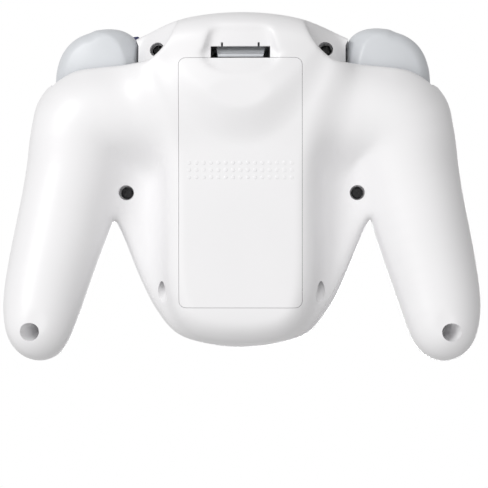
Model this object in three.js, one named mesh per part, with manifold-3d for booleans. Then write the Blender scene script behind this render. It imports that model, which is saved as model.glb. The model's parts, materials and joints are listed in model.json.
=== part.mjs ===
// Wireless two-handed game controller, lying face up on its back.
// Millimetres. +Z points out of the control face, +Y to the shoulder triggers, +X to the player's right.
// The origin is under the middle of the controller, on the plane that it rests on.
import * as THREE from 'three';
import { mergeVertices } from 'three/addons/utils/BufferGeometryUtils.js';
import Module from 'manifold-3d';

const wasm = await Module();
wasm.setup();

// ---------------------------------------------------------------- driving dimensions
const OUTER_CELL = 5.2; // size of the cells that the outside of the body is meshed with
const INNER_CELL = 7.6; // and the inside of its walls
const WALL = 2; // thickness of the moulded shells
const GAP = 0.3; // clearance between pieces that touch

// The two shells part on a plane that rises towards the triggers: z = PART_Z + PART_SLOPE * y.
const PART_Z = 21;
const PART_SLOPE = 0.16;

// Right half of the plan outline, from the middle of the top edge round the grip to the middle of the lobe.
const OUTLINE = [
  [0, 51.6], [8, 51.2], [16, 49.8], [24, 47.2], [31, 44], [42, 39], [50.5, 34.8], [56.8, 30.2],
  [60.6, 25.4], [62.6, 18], [63.9, 10], [65.4, -1.6], [67.3, -11.5], [69, -20.6], [70.2, -30],
  [70.1, -37.5], [68, -45.2], [64.2, -49.9], [59.2, -51.6], [54.4, -50.2], [50.6, -46],
  [47.6, -38.5], [44.8, -30], [42.2, -20.6], [40.2, -14], [38.3, -10.8], [36.2, -13.4],
  [33.6, -20.6], [29.8, -29.5], [25.4, -37], [19.2, -43.6], [10, -46.5], [0, -47.5],
];

// Right half of the hump that holds the batteries, at the height HUMP_Z. Its sides lean out by HUMP_LEAN.
const HUMP = [
  [0, 50], [12, 49], [18.8, 45], [21.2, 38], [21.3, 20], [20.8, 0], [20.5, -25], [20, -34],
  [17, -41], [9, -43.6], [0, -44],
];
const HUMP_Z = 5;
const HUMP_LEAN = 0.42;

// Edge of the wing over the trigger, closed far outside the body. Beyond it the back steps up to POCKET_Z.
const WING_EDGE = [
  [75, 10], [66, 18], [61.5, 23.6], [56.6, 30.2], [49.4, 33.6], [42, 34.8], [36, 35.5],
  [31, 36.4], [27.2, 38.4], [24.3, 41.2], [21.5, 46.3], [19, 58], [75, 58],
];
const POCKET_Z = 17;

// Centre line and radius of the round bar that makes a wing and its grip: x, y, z, radius.
const GRIP = [
  [0, 26, 20, 14.5], [26, 22.5, 21.5, 15.5], [45, 18.5, 22.5, 16.6], [49.5, 4, 20.8, 15.2],
  [53.6, -12, 18.2, 13.9], [57.6, -30, 14.2, 12.6], [59.2, -40.6, 11, 11.1],
];

const FACE_Z = 36.5; // control face at the middle
const FLANGE_Z = 15.5; // back of the web between the hump and the grips

// Raised parts of the control face.
const MAIN_STICK = { x: -43, y: 17, podRadius: 15.5, podTop: 39.4 };
const SMALL_STICK = { x: 18.6, y: -17.2, podRadius: 14.2, podTop: 38 };
const D_PAD = { x: -18.6, y: -17.2, podRadius: 14.2, podTop: 38 };
const ACTIONS = { x: 41.5, y: 13.5, podRadius: 18, podTop: 38.6 };

const COVER = { halfWidth: 17.9, top: 36.8, bottom: -35.5, corner: 2 };
const LATCH = { halfWidth: 8.7, top: 41.6, tongueHalfWidth: 6.2 };
const COVER_FLAT_Z = 3.6; // back of the flat part of the cover
const COVER_INSIDE_Z = 5.8; // and its inside face
// Two hooks hold the lower edge of the cover.
const HOOK = { x: 11, halfWidth: 2, front: 8, thick: 1, reach: 2.4 };

const BOARD = { bottom: 24, top: 25.6 };
const BATTERY = { radius: 7.1, length: 49.5, x: 7.5, z: 13.5, middle: -3, offset: 0.75 };
const TRAY = { x: 15.3, front: 21.1, back: 6.4, top: 25.2, bottom: -31.2, wall: 1.4 };

const TRIGGER = { skirt: 27, back: 15.1, front: 25.6 };
const BAY = { inner: 30.6, outer: 56.4, end: 19.4, back: 14.7, front: 26.6 };
const SHOULDER = { x0: 31.4, x1: 50.6, z0: 28.7, z1: 32.4, back: 31.5 };

const SCREWS = {
  top: { x: 24.9, y: 40.4, well: 2.5, seat: 24.2, tip: 31, boss: 4 },
  middle: { x: 34.3, y: -1.9, well: 2.2, seat: 18.3, tip: 29, boss: 3.1 },
  grip: { x: 62.2, y: -42.2, well: 2.6, seat: 9.4, tip: 17.2, boss: 4 },
};
const SCREW = { head: 1.75, headHeight: 1.3, shank: 1, hole: 1.3 };
// A screw in each flank of the hump. It passes near this point, in a direction given by two angles.
const SIDE_SCREW = {
  x: 24.2, y: -31.2, z: 11.5, plan: -28, tilt: 20, well: 2.2, wellDepth: 2.4, boss: 3, depth: 5,
};

const STICK = { pivot: 28.5, dome: 11.5, hole: 10, shaft: 1.6 };

const COLOURS = {
  shell: [0xf0f1f4, 0.42, 0],
  grey: [0xc9cdd2, 0.45, 0],
  navy: [0x1c2550, 0.4, 0],
  dark: [0x2b2d31, 0.6, 0],
  black: [0x131315, 0.45, 0.6],
  steel: [0xb9bcc0, 0.3, 1],
  board: [0x1e5b3b, 0.6, 0],
  rubber: [0xb8bcc4, 0.85, 0],
  teal: [0x2f9c8c, 0.4, 0],
  red: [0xb8323a, 0.4, 0],
  amber: [0xe0a735, 0.4, 0],
  cell: [0x3c6e96, 0.4, 0.4],
  lens: [0xe8eef2, 0.2, 0],
};

// ---------------------------------------------------------------- solids
const group = new THREE.Group();

function toSolid(geometry) {
  geometry.deleteAttribute('normal');
  geometry.deleteAttribute('uv');
  const merged = mergeVertices(geometry, 1e-4);
  const vertProperties = new Float32Array(merged.attributes.position.array);
  const triVerts = new Uint32Array(merged.index.array);
  return new wasm.Manifold(new wasm.Mesh({ numProp: 3, vertProperties, triVerts }));
}

function toGeometry(solid) {
  const mesh = solid.getMesh();
  const geometry = new THREE.BufferGeometry();
  geometry.setAttribute('position', new THREE.BufferAttribute(mesh.vertProperties, 3));
  geometry.setIndex(new THREE.BufferAttribute(mesh.triVerts, 1));
  geometry.computeVertexNormals();
  return geometry;
}

function addNode(name, solid, colour) {
  const [color, roughness, metalness] = COLOURS[colour];
  const material = new THREE.MeshStandardMaterial({ color, roughness, metalness });
  const mesh = new THREE.Mesh(toGeometry(solid), material);
  mesh.name = name;
  group.add(mesh);
}

function box(x0, x1, y0, y1, z0, z1) {
  const geometry = new THREE.BoxGeometry(x1 - x0, y1 - y0, z1 - z0);
  return toSolid(geometry.translate((x0 + x1) / 2, (y0 + y1) / 2, (z0 + z1) / 2));
}

// A box on one side of the controller: side is 1 on the player's right and -1 on the left.
function sideBox(side, x0, x1, ...rest) {
  return side > 0 ? box(x0, x1, ...rest) : box(-x1, -x0, ...rest);
}

function rod(radius, z0, z1, x = 0, y = 0, sides = 24) {
  const geometry = new THREE.CylinderGeometry(radius, radius, z1 - z0, sides).rotateX(Math.PI / 2);
  return toSolid(geometry.translate(x, y, (z0 + z1) / 2));
}

// A rod along X or Y through the point (x, y, z).
function crossRod(axis, radius, halfLength, x, y, z, sides = 12) {
  const geometry = new THREE.CylinderGeometry(radius, radius, 2 * halfLength, sides);
  if (axis === 'x') geometry.rotateZ(Math.PI / 2);
  return toSolid(geometry.translate(x, y, z));
}

// A plan outline pushed up from z0 to z1, with rounded edges of the given bevel.
function prism(shape, z0, z1, bevel = 0) {
  const options = {
    depth: z1 - z0 - 2 * bevel,
    bevelEnabled: bevel > 0,
    bevelThickness: bevel,
    bevelSize: bevel,
    bevelOffset: -bevel,
    bevelSegments: 1,
    curveSegments: 3,
  };
  return toSolid(new THREE.ExtrudeGeometry(shape, options).translate(0, 0, z0 + bevel));
}

function polygon(points) {
  return new THREE.Shape(points.map(([x, y]) => new THREE.Vector2(x, y)));
}

function circle(x, y, radius, sides = 16) {
  const angle = (i) => (i / sides) * 2 * Math.PI;
  const point = (_, i) => [x + radius * Math.cos(angle(i)), y + radius * Math.sin(angle(i))];
  return polygon(Array.from({ length: sides }, point));
}

// A profile of radius and height turned round a vertical axis.
function turned(profile, x, y, sides = 24) {
  const points = profile.map(([r, z]) => new THREE.Vector2(r, z));
  const geometry = new THREE.LatheGeometry(points, sides).rotateX(Math.PI / 2);
  return toSolid(geometry.translate(x, y, 0));
}

function roundedRectangle(halfWidth, bottom, top, corner) {
  const shape = new THREE.Shape();
  shape.absarc(halfWidth - corner, bottom + corner, corner, -Math.PI / 2, 0, false);
  shape.absarc(halfWidth - corner, top - corner, corner, 0, Math.PI / 2, false);
  shape.absarc(corner - halfWidth, top - corner, corner, Math.PI / 2, Math.PI, false);
  shape.absarc(corner - halfWidth, bottom + corner, corner, Math.PI, 1.5 * Math.PI, false);
  shape.closePath();
  return shape;
}

// Turns a side view drawn in X and Y into the plane of Y and Z, so that its depth runs along X.
function fromSideView(geometry) {
  return geometry.rotateY(Math.PI / 2).rotateX(Math.PI / 2);
}

function union(solids) {
  return solids.reduce((sum, solid) => sum.add(solid));
}

// ---------------------------------------------------------------- the moulded body as a distance field
const clamp = (value, low, high) => Math.min(Math.max(value, low), high);

function smoothStep(low, high, value) {
  const t = clamp((value - low) / (high - low), 0, 1);
  return t * t * (3 - 2 * t);
}

function smoothMin(a, b, blend) {
  const h = clamp(0.5 + (0.5 * (b - a)) / blend, 0, 1);
  return b + (a - b) * h - blend * h * (1 - h);
}

const smoothMax = (a, b, blend) => -smoothMin(-a, -b, blend);

function smoothLoop(points, steps) {
  const vectors = points.map(([x, y]) => new THREE.Vector3(x, y, 0));
  const curve = new THREE.CatmullRomCurve3(vectors, true, 'catmullrom', 0.5);
  return curve.getPoints(points.length * steps).slice(0, -1);
}

function mirrored(half) {
  const left = half.slice(1, -1).reverse().map(([x, y]) => [-x, y]);
  return half.concat(left);
}

const PLAN_LOOP = smoothLoop(mirrored(OUTLINE), 6);
const HUMP_LOOP = smoothLoop(mirrored(HUMP), 6);
const WING_LOOP = smoothLoop(WING_EDGE, 6);

// Distance in plan to a closed loop, negative inside.
function loopDistance(loop, x, y) {
  let nearest = Infinity;
  let inside = false;
  let a = loop[loop.length - 1];
  for (const b of loop) {
    const ex = b.x - a.x;
    const ey = b.y - a.y;
    const t = clamp(((x - a.x) * ex + (y - a.y) * ey) / (ex * ex + ey * ey), 0, 1);
    nearest = Math.min(nearest, Math.hypot(x - a.x - t * ex, y - a.y - t * ey));
    if (a.y > y !== b.y > y && x < a.x + ((y - a.y) * ex) / ey) inside = !inside;
    a = b;
  }
  return inside ? -nearest : nearest;
}

// A plate of plan distance d between two heights, with rounded edges.
function plate(d, z, z0, z1, round) {
  const side = d + round;
  const cap = Math.abs(z - (z0 + z1) / 2) - (z1 - z0) / 2 + round;
  const outside = Math.hypot(Math.max(side, 0), Math.max(cap, 0));
  return Math.min(Math.max(side, cap), 0) + outside - round;
}

// Points of the grip's centre line with its radius, three steps to each stretch.
function gripLine() {
  const centres = new THREE.CatmullRomCurve3(GRIP.map(([x, y, z]) => new THREE.Vector3(x, y, z)));
  centres.curveType = 'catmullrom';
  const radii = new THREE.SplineCurve(GRIP.map(([, , , r]) => new THREE.Vector2(r, 0)));
  const steps = 3 * (GRIP.length - 1);
  const at = (i) => ({ centre: centres.getPoint(i / steps), radius: radii.getPoint(i / steps).x });
  return Array.from({ length: steps + 1 }, (_, i) => at(i));
}

const GRIP_LINE = gripLine();

function gripDistance(point) {
  let distance = Infinity;
  for (let i = 1; i < GRIP_LINE.length; i++) {
    const a = GRIP_LINE[i - 1];
    const b = GRIP_LINE[i];
    const along = b.centre.clone().sub(a.centre);
    const offset = point.clone().sub(a.centre);
    const t = clamp(offset.dot(along) / along.lengthSq(), 0, 1);
    const radius = a.radius + t * (b.radius - a.radius);
    const next = offset.addScaledVector(along, -t).length() - radius;
    distance = i === 1 ? next : smoothMin(distance, next, 1.2);
  }
  return distance;
}

const squareAbove = (value) => Math.max(value, 0) ** 2;

// Height of the back of the hump: a bulge at the latch end, a flat cover and a lip at each end.
function humpBack(x, y) {
  const radius = y > 38 ? x / 23 : Math.hypot(x / 23, (y - 38) / 26);
  const bulge = -0.3 + (COVER_FLAT_Z + 0.3) * smoothStep(0.42, 1, radius);
  return bulge + 0.035 * squareAbove(-35 - y) + 0.05 * squareAbove(y - 37) + 0.6 * (x / 22) ** 2;
}

function pod(x, y, z, place, height) {
  return plate(Math.hypot(x - place.x, y - place.y) - place.podRadius, z, 24, height, 2.5);
}

function bodyField(px, y, z) {
  const x = Math.abs(px);
  const plan = loopDistance(PLAN_LOOP, x, y);
  const faceDrop = 4 * (x / 60) ** 2 + 0.012 * squareAbove(-22 - y) + 0.01 * squareAbove(y - 30);
  const slab = plate(smoothMax(plan, x - 50, 6), z, FLANGE_Z, FACE_Z - faceDrop, 4.5);
  const humpPlan = loopDistance(HUMP_LOOP, x, y) - (z - HUMP_Z) * HUMP_LEAN;
  const hump = 0.92 * plate(humpPlan, z, humpBack(x, y), 30, 4);
  let body = smoothMin(slab, hump, 5);
  body = smoothMin(body, gripDistance(new THREE.Vector3(x, y, z)), 7);
  for (const place of [MAIN_STICK, ACTIONS, SMALL_STICK, D_PAD]) {
    body = smoothMin(body, pod(px, y, z, place, place.podTop), 4);
  }
  body = smoothMax(body, plan, 2.5);
  const pocket = Math.max(loopDistance(WING_LOOP, x, y), z - POCKET_Z);
  body = smoothMax(body, -pocket, 1.2);
  const scoop = Math.hypot(x / 10.8, (y - 41.5) / 9, (z + 2) / 8) - 1;
  return smoothMax(body, -8 * scoop, 1.6);
}

// ---------------------------------------------------------------- meshing of the field
const CORNERS = [0, 1, 2, 3, 4, 5, 6, 7].map((n) => [n & 1, (n >> 1) & 1, n >> 2]);
const CELL_EDGES = CORNERS.flatMap((a) => CORNERS.map((b) => [a, b])).filter(
  ([a, b]) => a.reduce((sum, value, i) => sum + (b[i] - value), 0) === 1 && a.every((v, i) => v <= b[i]),
);
const GRID_HALF = [75, 56, 24]; // half the size of the block of cells
const GRID_MIDDLE = [0, 0, 20];

// Moves a point onto the surface where the field equals level.
function settle(point, level, reach) {
  const step = 0.05;
  for (let round = 0; round < 3; round++) {
    const [x, y, z] = point;
    const value = bodyField(x, y, z) - level;
    const slope = [
      (bodyField(x + step, y, z) - bodyField(x - step, y, z)) / (2 * step),
      (bodyField(x, y + step, z) - bodyField(x, y - step, z)) / (2 * step),
      (bodyField(x, y, z + step) - bodyField(x, y, z - step)) / (2 * step),
    ];
    const steepness = Math.max(slope[0] ** 2 + slope[1] ** 2 + slope[2] ** 2, 0.3);
    const move = clamp(value / steepness, -reach, reach);
    for (let axis = 0; axis < 3; axis++) point[axis] -= move * slope[axis];
  }
  return point;
}

// The closed surface where the field equals level: one point in each cell that the surface crosses.
function meshBody(level, cell) {
  const [nx, ny, nz] = GRID_HALF.map((half) => 2 * Math.ceil(half / cell) + 2);
  const low = [nx, ny, nz].map((count, axis) => GRID_MIDDLE[axis] - ((count - 1) * cell) / 2);
  const index = (i, j, k) => (i * ny + j) * nz + k;
  const value = new Float64Array(nx * ny * nz);
  for (let i = 0; i < nx; i++) {
    for (let j = 0; j < ny; j++) {
      for (let k = 0; k < nz; k++) {
        const place = [i, j, k].map((n, axis) => low[axis] + cell * n);
        value[index(i, j, k)] = bodyField(...place) - level;
      }
    }
  }

  const positions = [];
  const cellPoint = new Map();
  for (let i = 0; i < nx - 1; i++) {
    for (let j = 0; j < ny - 1; j++) {
      for (let k = 0; k < nz - 1; k++) {
        const sum = [0, 0, 0];
        let crossings = 0;
        for (const [a, b] of CELL_EDGES) {
          const va = value[index(i + a[0], j + a[1], k + a[2])];
          const vb = value[index(i + b[0], j + b[1], k + b[2])];
          if (va < 0 === vb < 0) continue;
          const t = va / (va - vb);
          for (let axis = 0; axis < 3; axis++) sum[axis] += a[axis] + t * (b[axis] - a[axis]);
          crossings += 1;
        }
        if (crossings === 0) continue;
        const middle = sum.map((s, axis) => low[axis] + cell * ([i, j, k][axis] + s / crossings));
        cellPoint.set(index(i, j, k), positions.length / 3);
        positions.push(...settle(middle, level, cell / 6));
      }
    }
  }

  const faces = [];
  const strides = [index(1, 0, 0), index(0, 1, 0), index(0, 0, 1)];
  for (let axis = 0; axis < 3; axis++) {
    const u = strides[(axis + 1) % 3];
    const v = strides[(axis + 2) % 3];
    for (let here = u + v; here < value.length - strides[axis]; here++) {
      const inside = value[here] < 0;
      if (inside === value[here + strides[axis]] < 0) continue;
      const [a, b, c, d] = [here, here - u, here - u - v, here - v].map((n) => cellPoint.get(n));
      if (inside) faces.push(a, b, c, a, c, d);
      else faces.push(a, c, b, a, d, c);
    }
  }
  const geometry = new THREE.BufferGeometry();
  geometry.setAttribute('position', new THREE.BufferAttribute(new Float32Array(positions), 3));
  geometry.setIndex(faces);
  return toSolid(geometry);
}

// ---------------------------------------------------------------- blocks that divide the body
const SPAN = 90; // half the side of a block that is larger than the controller

function partingBlock(offset, above) {
  const low = above ? offset : -SPAN;
  const high = above ? SPAN : offset;
  const side = [
    [-SPAN, PART_Z - PART_SLOPE * SPAN + low],
    [SPAN, PART_Z + PART_SLOPE * SPAN + low],
    [SPAN, PART_Z + PART_SLOPE * SPAN + high],
    [-SPAN, PART_Z - PART_SLOPE * SPAN + high],
  ];
  const geometry = new THREE.ExtrudeGeometry(polygon(side), { depth: 2 * SPAN, bevelEnabled: false });
  return toSolid(fromSideView(geometry.translate(0, 0, -SPAN)));
}

const partingAt = (y) => PART_Z + PART_SLOPE * y;

// Everything below the resting plane is taken off. That leaves a flat patch on the cover and on each tip.
const floorBlock = box(-SPAN, SPAN, -SPAN, SPAN, -SPAN, 0);
const outer = meshBody(0, OUTER_CELL).subtract(floorBlock);
const backHalf = partingBlock(-GAP / 2, false);
const frontHalf = partingBlock(GAP / 2, true);

// ---------------------------------------------------------------- screws
const SIDES = [['left', -1], ['right', 1]];

function eachScrew(action) {
  for (const [row, place] of Object.entries(SCREWS)) {
    for (const [word, side] of SIDES) action(`screw_${row}_${word}`, place, side * place.x);
  }
}

// Direction in which the side screw goes into the flank of the hump.
function sideScrewFrame(side) {
  const plan = THREE.MathUtils.degToRad(SIDE_SCREW.plan);
  const tilt = THREE.MathUtils.degToRad(SIDE_SCREW.tilt);
  const x = -Math.cos(plan) * Math.cos(tilt);
  const into = new THREE.Vector3(side * x, -Math.sin(plan) * Math.cos(tilt), Math.sin(tilt));
  const start = new THREE.Vector3(side * SIDE_SCREW.x, SIDE_SCREW.y, SIDE_SCREW.z);
  start.addScaledVector(into, -8);
  while (bodyField(start.x, start.y, start.z) > 0.05) start.addScaledVector(into, 0.05);
  return { into, start };
}

// A rod in the side screw's direction, from depth d0 to depth d1 under the surface.
function sideRod(side, radius, d0, d1, sides = 12) {
  const { into, start } = sideScrewFrame(side);
  const geometry = new THREE.CylinderGeometry(radius, radius, d1 - d0, sides);
  const turn = new THREE.Quaternion().setFromUnitVectors(new THREE.Vector3(0, 1, 0), into);
  const middle = start.addScaledVector(into, (d0 + d1) / 2);
  return toSolid(geometry.applyQuaternion(turn).translate(middle.x, middle.y, middle.z));
}

// The shells' walls: the body less its hollow, which leaves a post round each screw.
function makeSkin() {
  let hollow = meshBody(-WALL, INNER_CELL);
  eachScrew((name, place, x) => {
    hollow = hollow.subtract(rod(place.boss, -1, SPAN, x, place.y, 8));
  });
  for (const [, side] of SIDES) {
    hollow = hollow.subtract(sideRod(side, SIDE_SCREW.boss, -4, SIDE_SCREW.depth));
  }
  return outer.subtract(hollow);
}

const skin = makeSkin();

function makeScrews() {
  eachScrew((name, place, x) => {
    const head = place.seat - GAP - SCREW.headHeight;
    const profile = [
      [0, head + 0.6], [0.7, head + 0.5], [0.8, head], [SCREW.head, head + 0.25],
      [SCREW.head, place.seat - GAP], [SCREW.shank, place.seat - GAP], [SCREW.shank, place.tip - 1],
      [0, place.tip],
    ];
    addNode(name, turned(profile, x, place.y, 12), 'black');
  });
  for (const [word, side] of SIDES) {
    const seat = SIDE_SCREW.wellDepth - GAP;
    const head = sideRod(side, SCREW.head, seat - 1.1, seat);
    addNode(`screw_side_${word}`, head.add(sideRod(side, 0.8, seat - 0.2, 4.8)), 'black');
  }
}

// ---------------------------------------------------------------- shells
// An arched outline round the large button, with round ends. Angles are in degrees.
function kidney(innerRadius, outerRadius, from, to) {
  const { x, y } = ACTIONS;
  const middle = (innerRadius + outerRadius) / 2;
  const end = (outerRadius - innerRadius) / 2;
  const [a, b] = [from, to].map(THREE.MathUtils.degToRad);
  const shape = new THREE.Shape();
  shape.absarc(x, y, outerRadius, a, b, false);
  shape.absarc(x + middle * Math.cos(b), y + middle * Math.sin(b), end, b, b + Math.PI, false);
  shape.absarc(x, y, innerRadius, b, a, true);
  shape.absarc(x + middle * Math.cos(a), y + middle * Math.sin(a), end, a + Math.PI, a, false);
  return shape;
}

// Every push button of the control face.
const BUTTONS = {
  large_round_button: { round: [ACTIONS.x, ACTIONS.y, 6.5], top: 42.6, colour: 'teal' },
  small_round_button: { round: [ACTIONS.x - 8.9, ACTIONS.y - 7.8, 3.8], top: 41.4, colour: 'red' },
  kidney_button_side: { arc: [-30, 30], top: 41.4, colour: 'grey' },
  kidney_button_upper: { arc: [72, 130], top: 41.4, colour: 'grey' },
  start_button: { round: [0, 14, 3.4], top: 38.4, colour: 'grey' },
  home_button: { round: [0, 0, 2.8], top: 37.9, colour: 'dark' },
};
const FLANGE = { under: 4.4, height: 1.2, grow: 0.5 }; // rim that keeps a button in: depth under the face
const STEM = { radius: 2.2, aboveBoard: 3.4 }; // post under a button that pushes the rubber dome

// Room that is turned out under the raised parts of the face: radius and top.
const ROOM = { stick: [12.8, 35.6], pad: [11.4, 35.8], actions: [16.4, 34.6] };

function buttonOutline(button, grow) {
  if (button.arc) {
    return kidney(9 - grow, 14.4 + grow, ...button.arc);
  }
  const [x, y, radius] = button.round;
  return circle(x, y, radius + grow);
}

const buttonFace = (button) => (button.top > 40 ? ACTIONS.podTop : FACE_Z);

function makeButtons() {
  for (const [name, button] of Object.entries(BUTTONS)) {
    const flange = buttonFace(button) - FLANGE.under;
    const cap = prism(buttonOutline(button, 0), flange - 0.4, button.top, 0.9);
    const rim = prism(buttonOutline(button, FLANGE.grow), flange - FLANGE.height, flange);
    const [x, y] = buttonStem(button);
    const stem = rod(STEM.radius, BOARD.top + STEM.aboveBoard, flange - 1, x, y, 16);
    addNode(name, union([cap, rim, stem]), button.colour);
  }
}

function buttonStem(button) {
  if (button.round) return button.round;
  const angle = THREE.MathUtils.degToRad((button.arc[0] + button.arc[1]) / 2);
  return [ACTIONS.x + 11.7 * Math.cos(angle), ACTIONS.y + 11.7 * Math.sin(angle)];
}

function crossShape(x, y, reach, halfArm) {
  const arm = [[halfArm, -reach], [halfArm, -halfArm], [reach, -halfArm]];
  const quarter = ([px, py], turns) => (turns === 0 ? [px, py] : quarter([-py, px], turns - 1));
  const corners = [0, 1, 2, 3].flatMap((turns) => arm.map((point) => quarter(point, turns)));
  return polygon(corners.map(([px, py]) => [x + px, y + py]));
}

// The room that a trigger slides in, open to the top edge.
function triggerBay(side) {
  return sideBox(side, BAY.inner, BAY.outer, BAY.end, 60, BAY.back, BAY.front);
}

function makeFrontShell() {
  let shell = skin.intersect(frontHalf);
  eachScrew((name, place, x) => {
    const start = partingAt(place.y) + GAP / 2;
    shell = shell.subtract(rod(SCREW.hole, start - 3, place.tip + GAP, x, place.y, 8));
  });
  const openings = Object.values(BUTTONS).map((button) => prism(buttonOutline(button, 0.4), 33, 45));
  for (const { x, y } of [MAIN_STICK, SMALL_STICK]) openings.push(rod(STICK.hole, 31, 45, x, y));
  openings.push(prism(crossShape(D_PAD.x, D_PAD.y, 10.7, 4), 31, 45));
  const rooms = [
    [MAIN_STICK, ROOM.stick], [SMALL_STICK, ROOM.stick], [D_PAD, ROOM.pad], [ACTIONS, ROOM.actions],
  ];
  for (const [place, [radius, top]] of rooms) openings.push(rod(radius, 22.5, top, place.x, place.y));
  openings.push(prism(lightOutline(GAP), 31, 45));
  const { x0, x1, z0, z1 } = SHOULDER;
  openings.push(box(x0 - GAP, x1 + GAP, 30, 60, z0 - GAP, z1 + GAP));
  for (const [, side] of SIDES) openings.push(triggerBay(side));
  addNode('front_shell', shell.subtract(union(openings)), 'shell');
}

function makeBackShell() {
  let shell = skin.intersect(backHalf);
  eachScrew((name, place, x) => {
    const end = partingAt(place.y);
    const well = rod(place.well, -1, place.seat, x, place.y, 16);
    const hole = rod(SCREW.hole, place.seat - 1, end + 2, x, place.y, 8);
    shell = shell.subtract(well).subtract(hole);
  });
  for (const [, side] of SIDES) {
    const well = sideRod(side, SIDE_SCREW.well, -4, SIDE_SCREW.wellDepth);
    const hole = sideRod(side, 1.1, SIDE_SCREW.wellDepth - 1, SIDE_SCREW.depth + 1);
    shell = shell.subtract(well).subtract(hole).subtract(triggerBay(side));
  }
  const bay = roundedRectangle(COVER.halfWidth + GAP, COVER.bottom - GAP, COVER.top + GAP, COVER.corner);
  shell = shell.subtract(prism(bay, -1, 10));
  shell = shell.subtract(box(-LATCH.halfWidth, LATCH.halfWidth, 35, LATCH.top, -1, 14));
  addNode('back_shell', shell, 'shell');
}

// ---------------------------------------------------------------- battery cover and latch
function makeCover() {
  const outline = roundedRectangle(COVER.halfWidth, COVER.bottom, COVER.top, COVER.corner);
  const notch = box(-LATCH.halfWidth, LATCH.halfWidth, COVER.top - 0.6, COVER.top + 1, -1, 12);
  let cover = prism(outline, -1, COVER_INSIDE_Z).intersect(skin).subtract(notch);
  const { x, halfWidth, front, thick, reach } = HOOK;
  const root = COVER_INSIDE_Z - 1;
  const hook = [
    [COVER.bottom + 1.6, root], [COVER.bottom + 1.6, front], [COVER.bottom - reach, front],
    [COVER.bottom - reach, front - thick], [COVER.bottom + 0.4, front - thick], [COVER.bottom + 0.4, root],
  ];
  for (const middle of [-x, x]) {
    cover = cover.add(sideProfile(hook, middle - halfWidth, middle + halfWidth));
  }
  addNode('battery_cover', cover, 'shell');
}

// A side view drawn in (y, z), made thick from x0 to x1.
function sideProfile(points, x0, x1) {
  const geometry = new THREE.ExtrudeGeometry(polygon(points), { depth: x1 - x0, bevelEnabled: false });
  return toSolid(fromSideView(geometry.translate(0, 0, x0)));
}

function makeLatch() {
  const tongue = [
    [37.2, 7.4], [38.3, 6.6], [38.5, 10.2], [39.3, 10.9], [40.1, 10.2], [40.2, 5.6], [41.1, 5.6],
    [41.2, 11], [40.2, 12.2], [38.2, 12.2], [37.3, 11],
  ];
  const width = LATCH.tongueHalfWidth;
  addNode('cover_latch', sideProfile(tongue, -width, width), 'grey');
}

// ---------------------------------------------------------------- batteries
function makeTray() {
  const { x, front, back, top, bottom, wall } = TRAY;
  const outside = box(-x - wall, x + wall, bottom - wall, top + wall, back, front + wall);
  const inside = box(-x, x, bottom, top, back - 1, front);
  const hookRoom = SIDES.map(([, side]) => {
    const [low, high] = [HOOK.x - HOOK.halfWidth - 0.6, HOOK.x + HOOK.halfWidth + 0.6];
    return sideBox(side, low, high, bottom - wall - 1, bottom + 1, back - 1, HOOK.front + GAP);
  });
  addNode('battery_tray', outside.subtract(inside).subtract(union(hookRoom)), 'shell');
}

// The two cells lie along Y in opposite directions: way is 1 where the plus end is at the top.
const CELLS = [['left', -1, 1], ['right', 1, -1]];

function makeBatteries() {
  const { radius, length, x, z, middle, offset } = BATTERY;
  const half = length / 2;
  for (const [word, side, way] of CELLS) {
    const profile = [
      [0, -half], [radius - 0.5, -half], [radius, 0.5 - half], [radius, half - 0.5],
      [radius - 0.5, half], [2.6, half], [2.6, half + 1], [0, half + 1],
    ];
    const geometry = new THREE.LatheGeometry(profile.map(([r, y]) => new THREE.Vector2(r, y)), 24);
    if (way < 0) geometry.rotateZ(Math.PI);
    geometry.translate(side * x, middle + way * offset, z);
    addNode(`battery_cell_${word}`, toSolid(geometry), 'cell');
    const low = middle + way * offset - way * half;
    addNode(`contact_spring_${word}`, coil(side * x, low - way * GAP, z, -way), 'steel');
  }
  const plateZ = [z - 4.5, z + 4.5];
  addNode('contact_bridge', box(-12.5, 12.5, TRAY.top - 0.7, TRAY.top - 0.3, ...plateZ), 'steel');
  for (const [word, side] of SIDES) {
    const low = TRAY.bottom + 0.3;
    addNode(`contact_plate_${word}`, sideBox(side, 3, 12.5, low, low + 0.4, ...plateZ), 'steel');
  }
}

// Conical contact spring that starts against a cell and widens towards the tray's end wall.
function coil(x, y, z, way) {
  const points = [];
  const steps = 30;
  for (let i = 0; i <= steps; i++) {
    const turn = (i / steps) * 2 * 2 * Math.PI;
    const radius = 2 + (2 * i) / steps;
    const along = way * (0.35 + (1.1 * i) / steps);
    points.push(new THREE.Vector3(x + radius * Math.cos(turn), y + along, z + radius * Math.sin(turn)));
  }
  return wire(points, 0.25, 32, 4);
}

function wire(points, radius, steps, sides) {
  const section = new THREE.Shape(
    Array.from({ length: sides }, (_, i) => {
      const angle = (i / sides) * 2 * Math.PI;
      return new THREE.Vector2(radius * Math.cos(angle), radius * Math.sin(angle));
    }),
  );
  const extrudePath = new THREE.CatmullRomCurve3(points);
  return toSolid(new THREE.ExtrudeGeometry(section, { steps, extrudePath, bevelEnabled: false }));
}

// ---------------------------------------------------------------- board and what sits on it
function makeBoard() {
  const half = [
    [0, 34], [19, 34], [28, 23], [52, 23], [53, 6], [44, -3], [33, -9.5], [28.5, -22], [21, -31], [0, -31],
  ];
  let board = prism(polygon(mirrored(half)), BOARD.bottom, BOARD.top);
  for (const [, side] of SIDES) {
    board = board.subtract(rod(4.2, 20, 30, side * SCREWS.middle.x, SCREWS.middle.y, 20));
  }
  addNode('main_board', board, 'board');
  const above = BOARD.top + GAP;
  addNode('radio_module', box(-17, -6, 20, 31, above, above + 2.2), 'steel');
}

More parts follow.
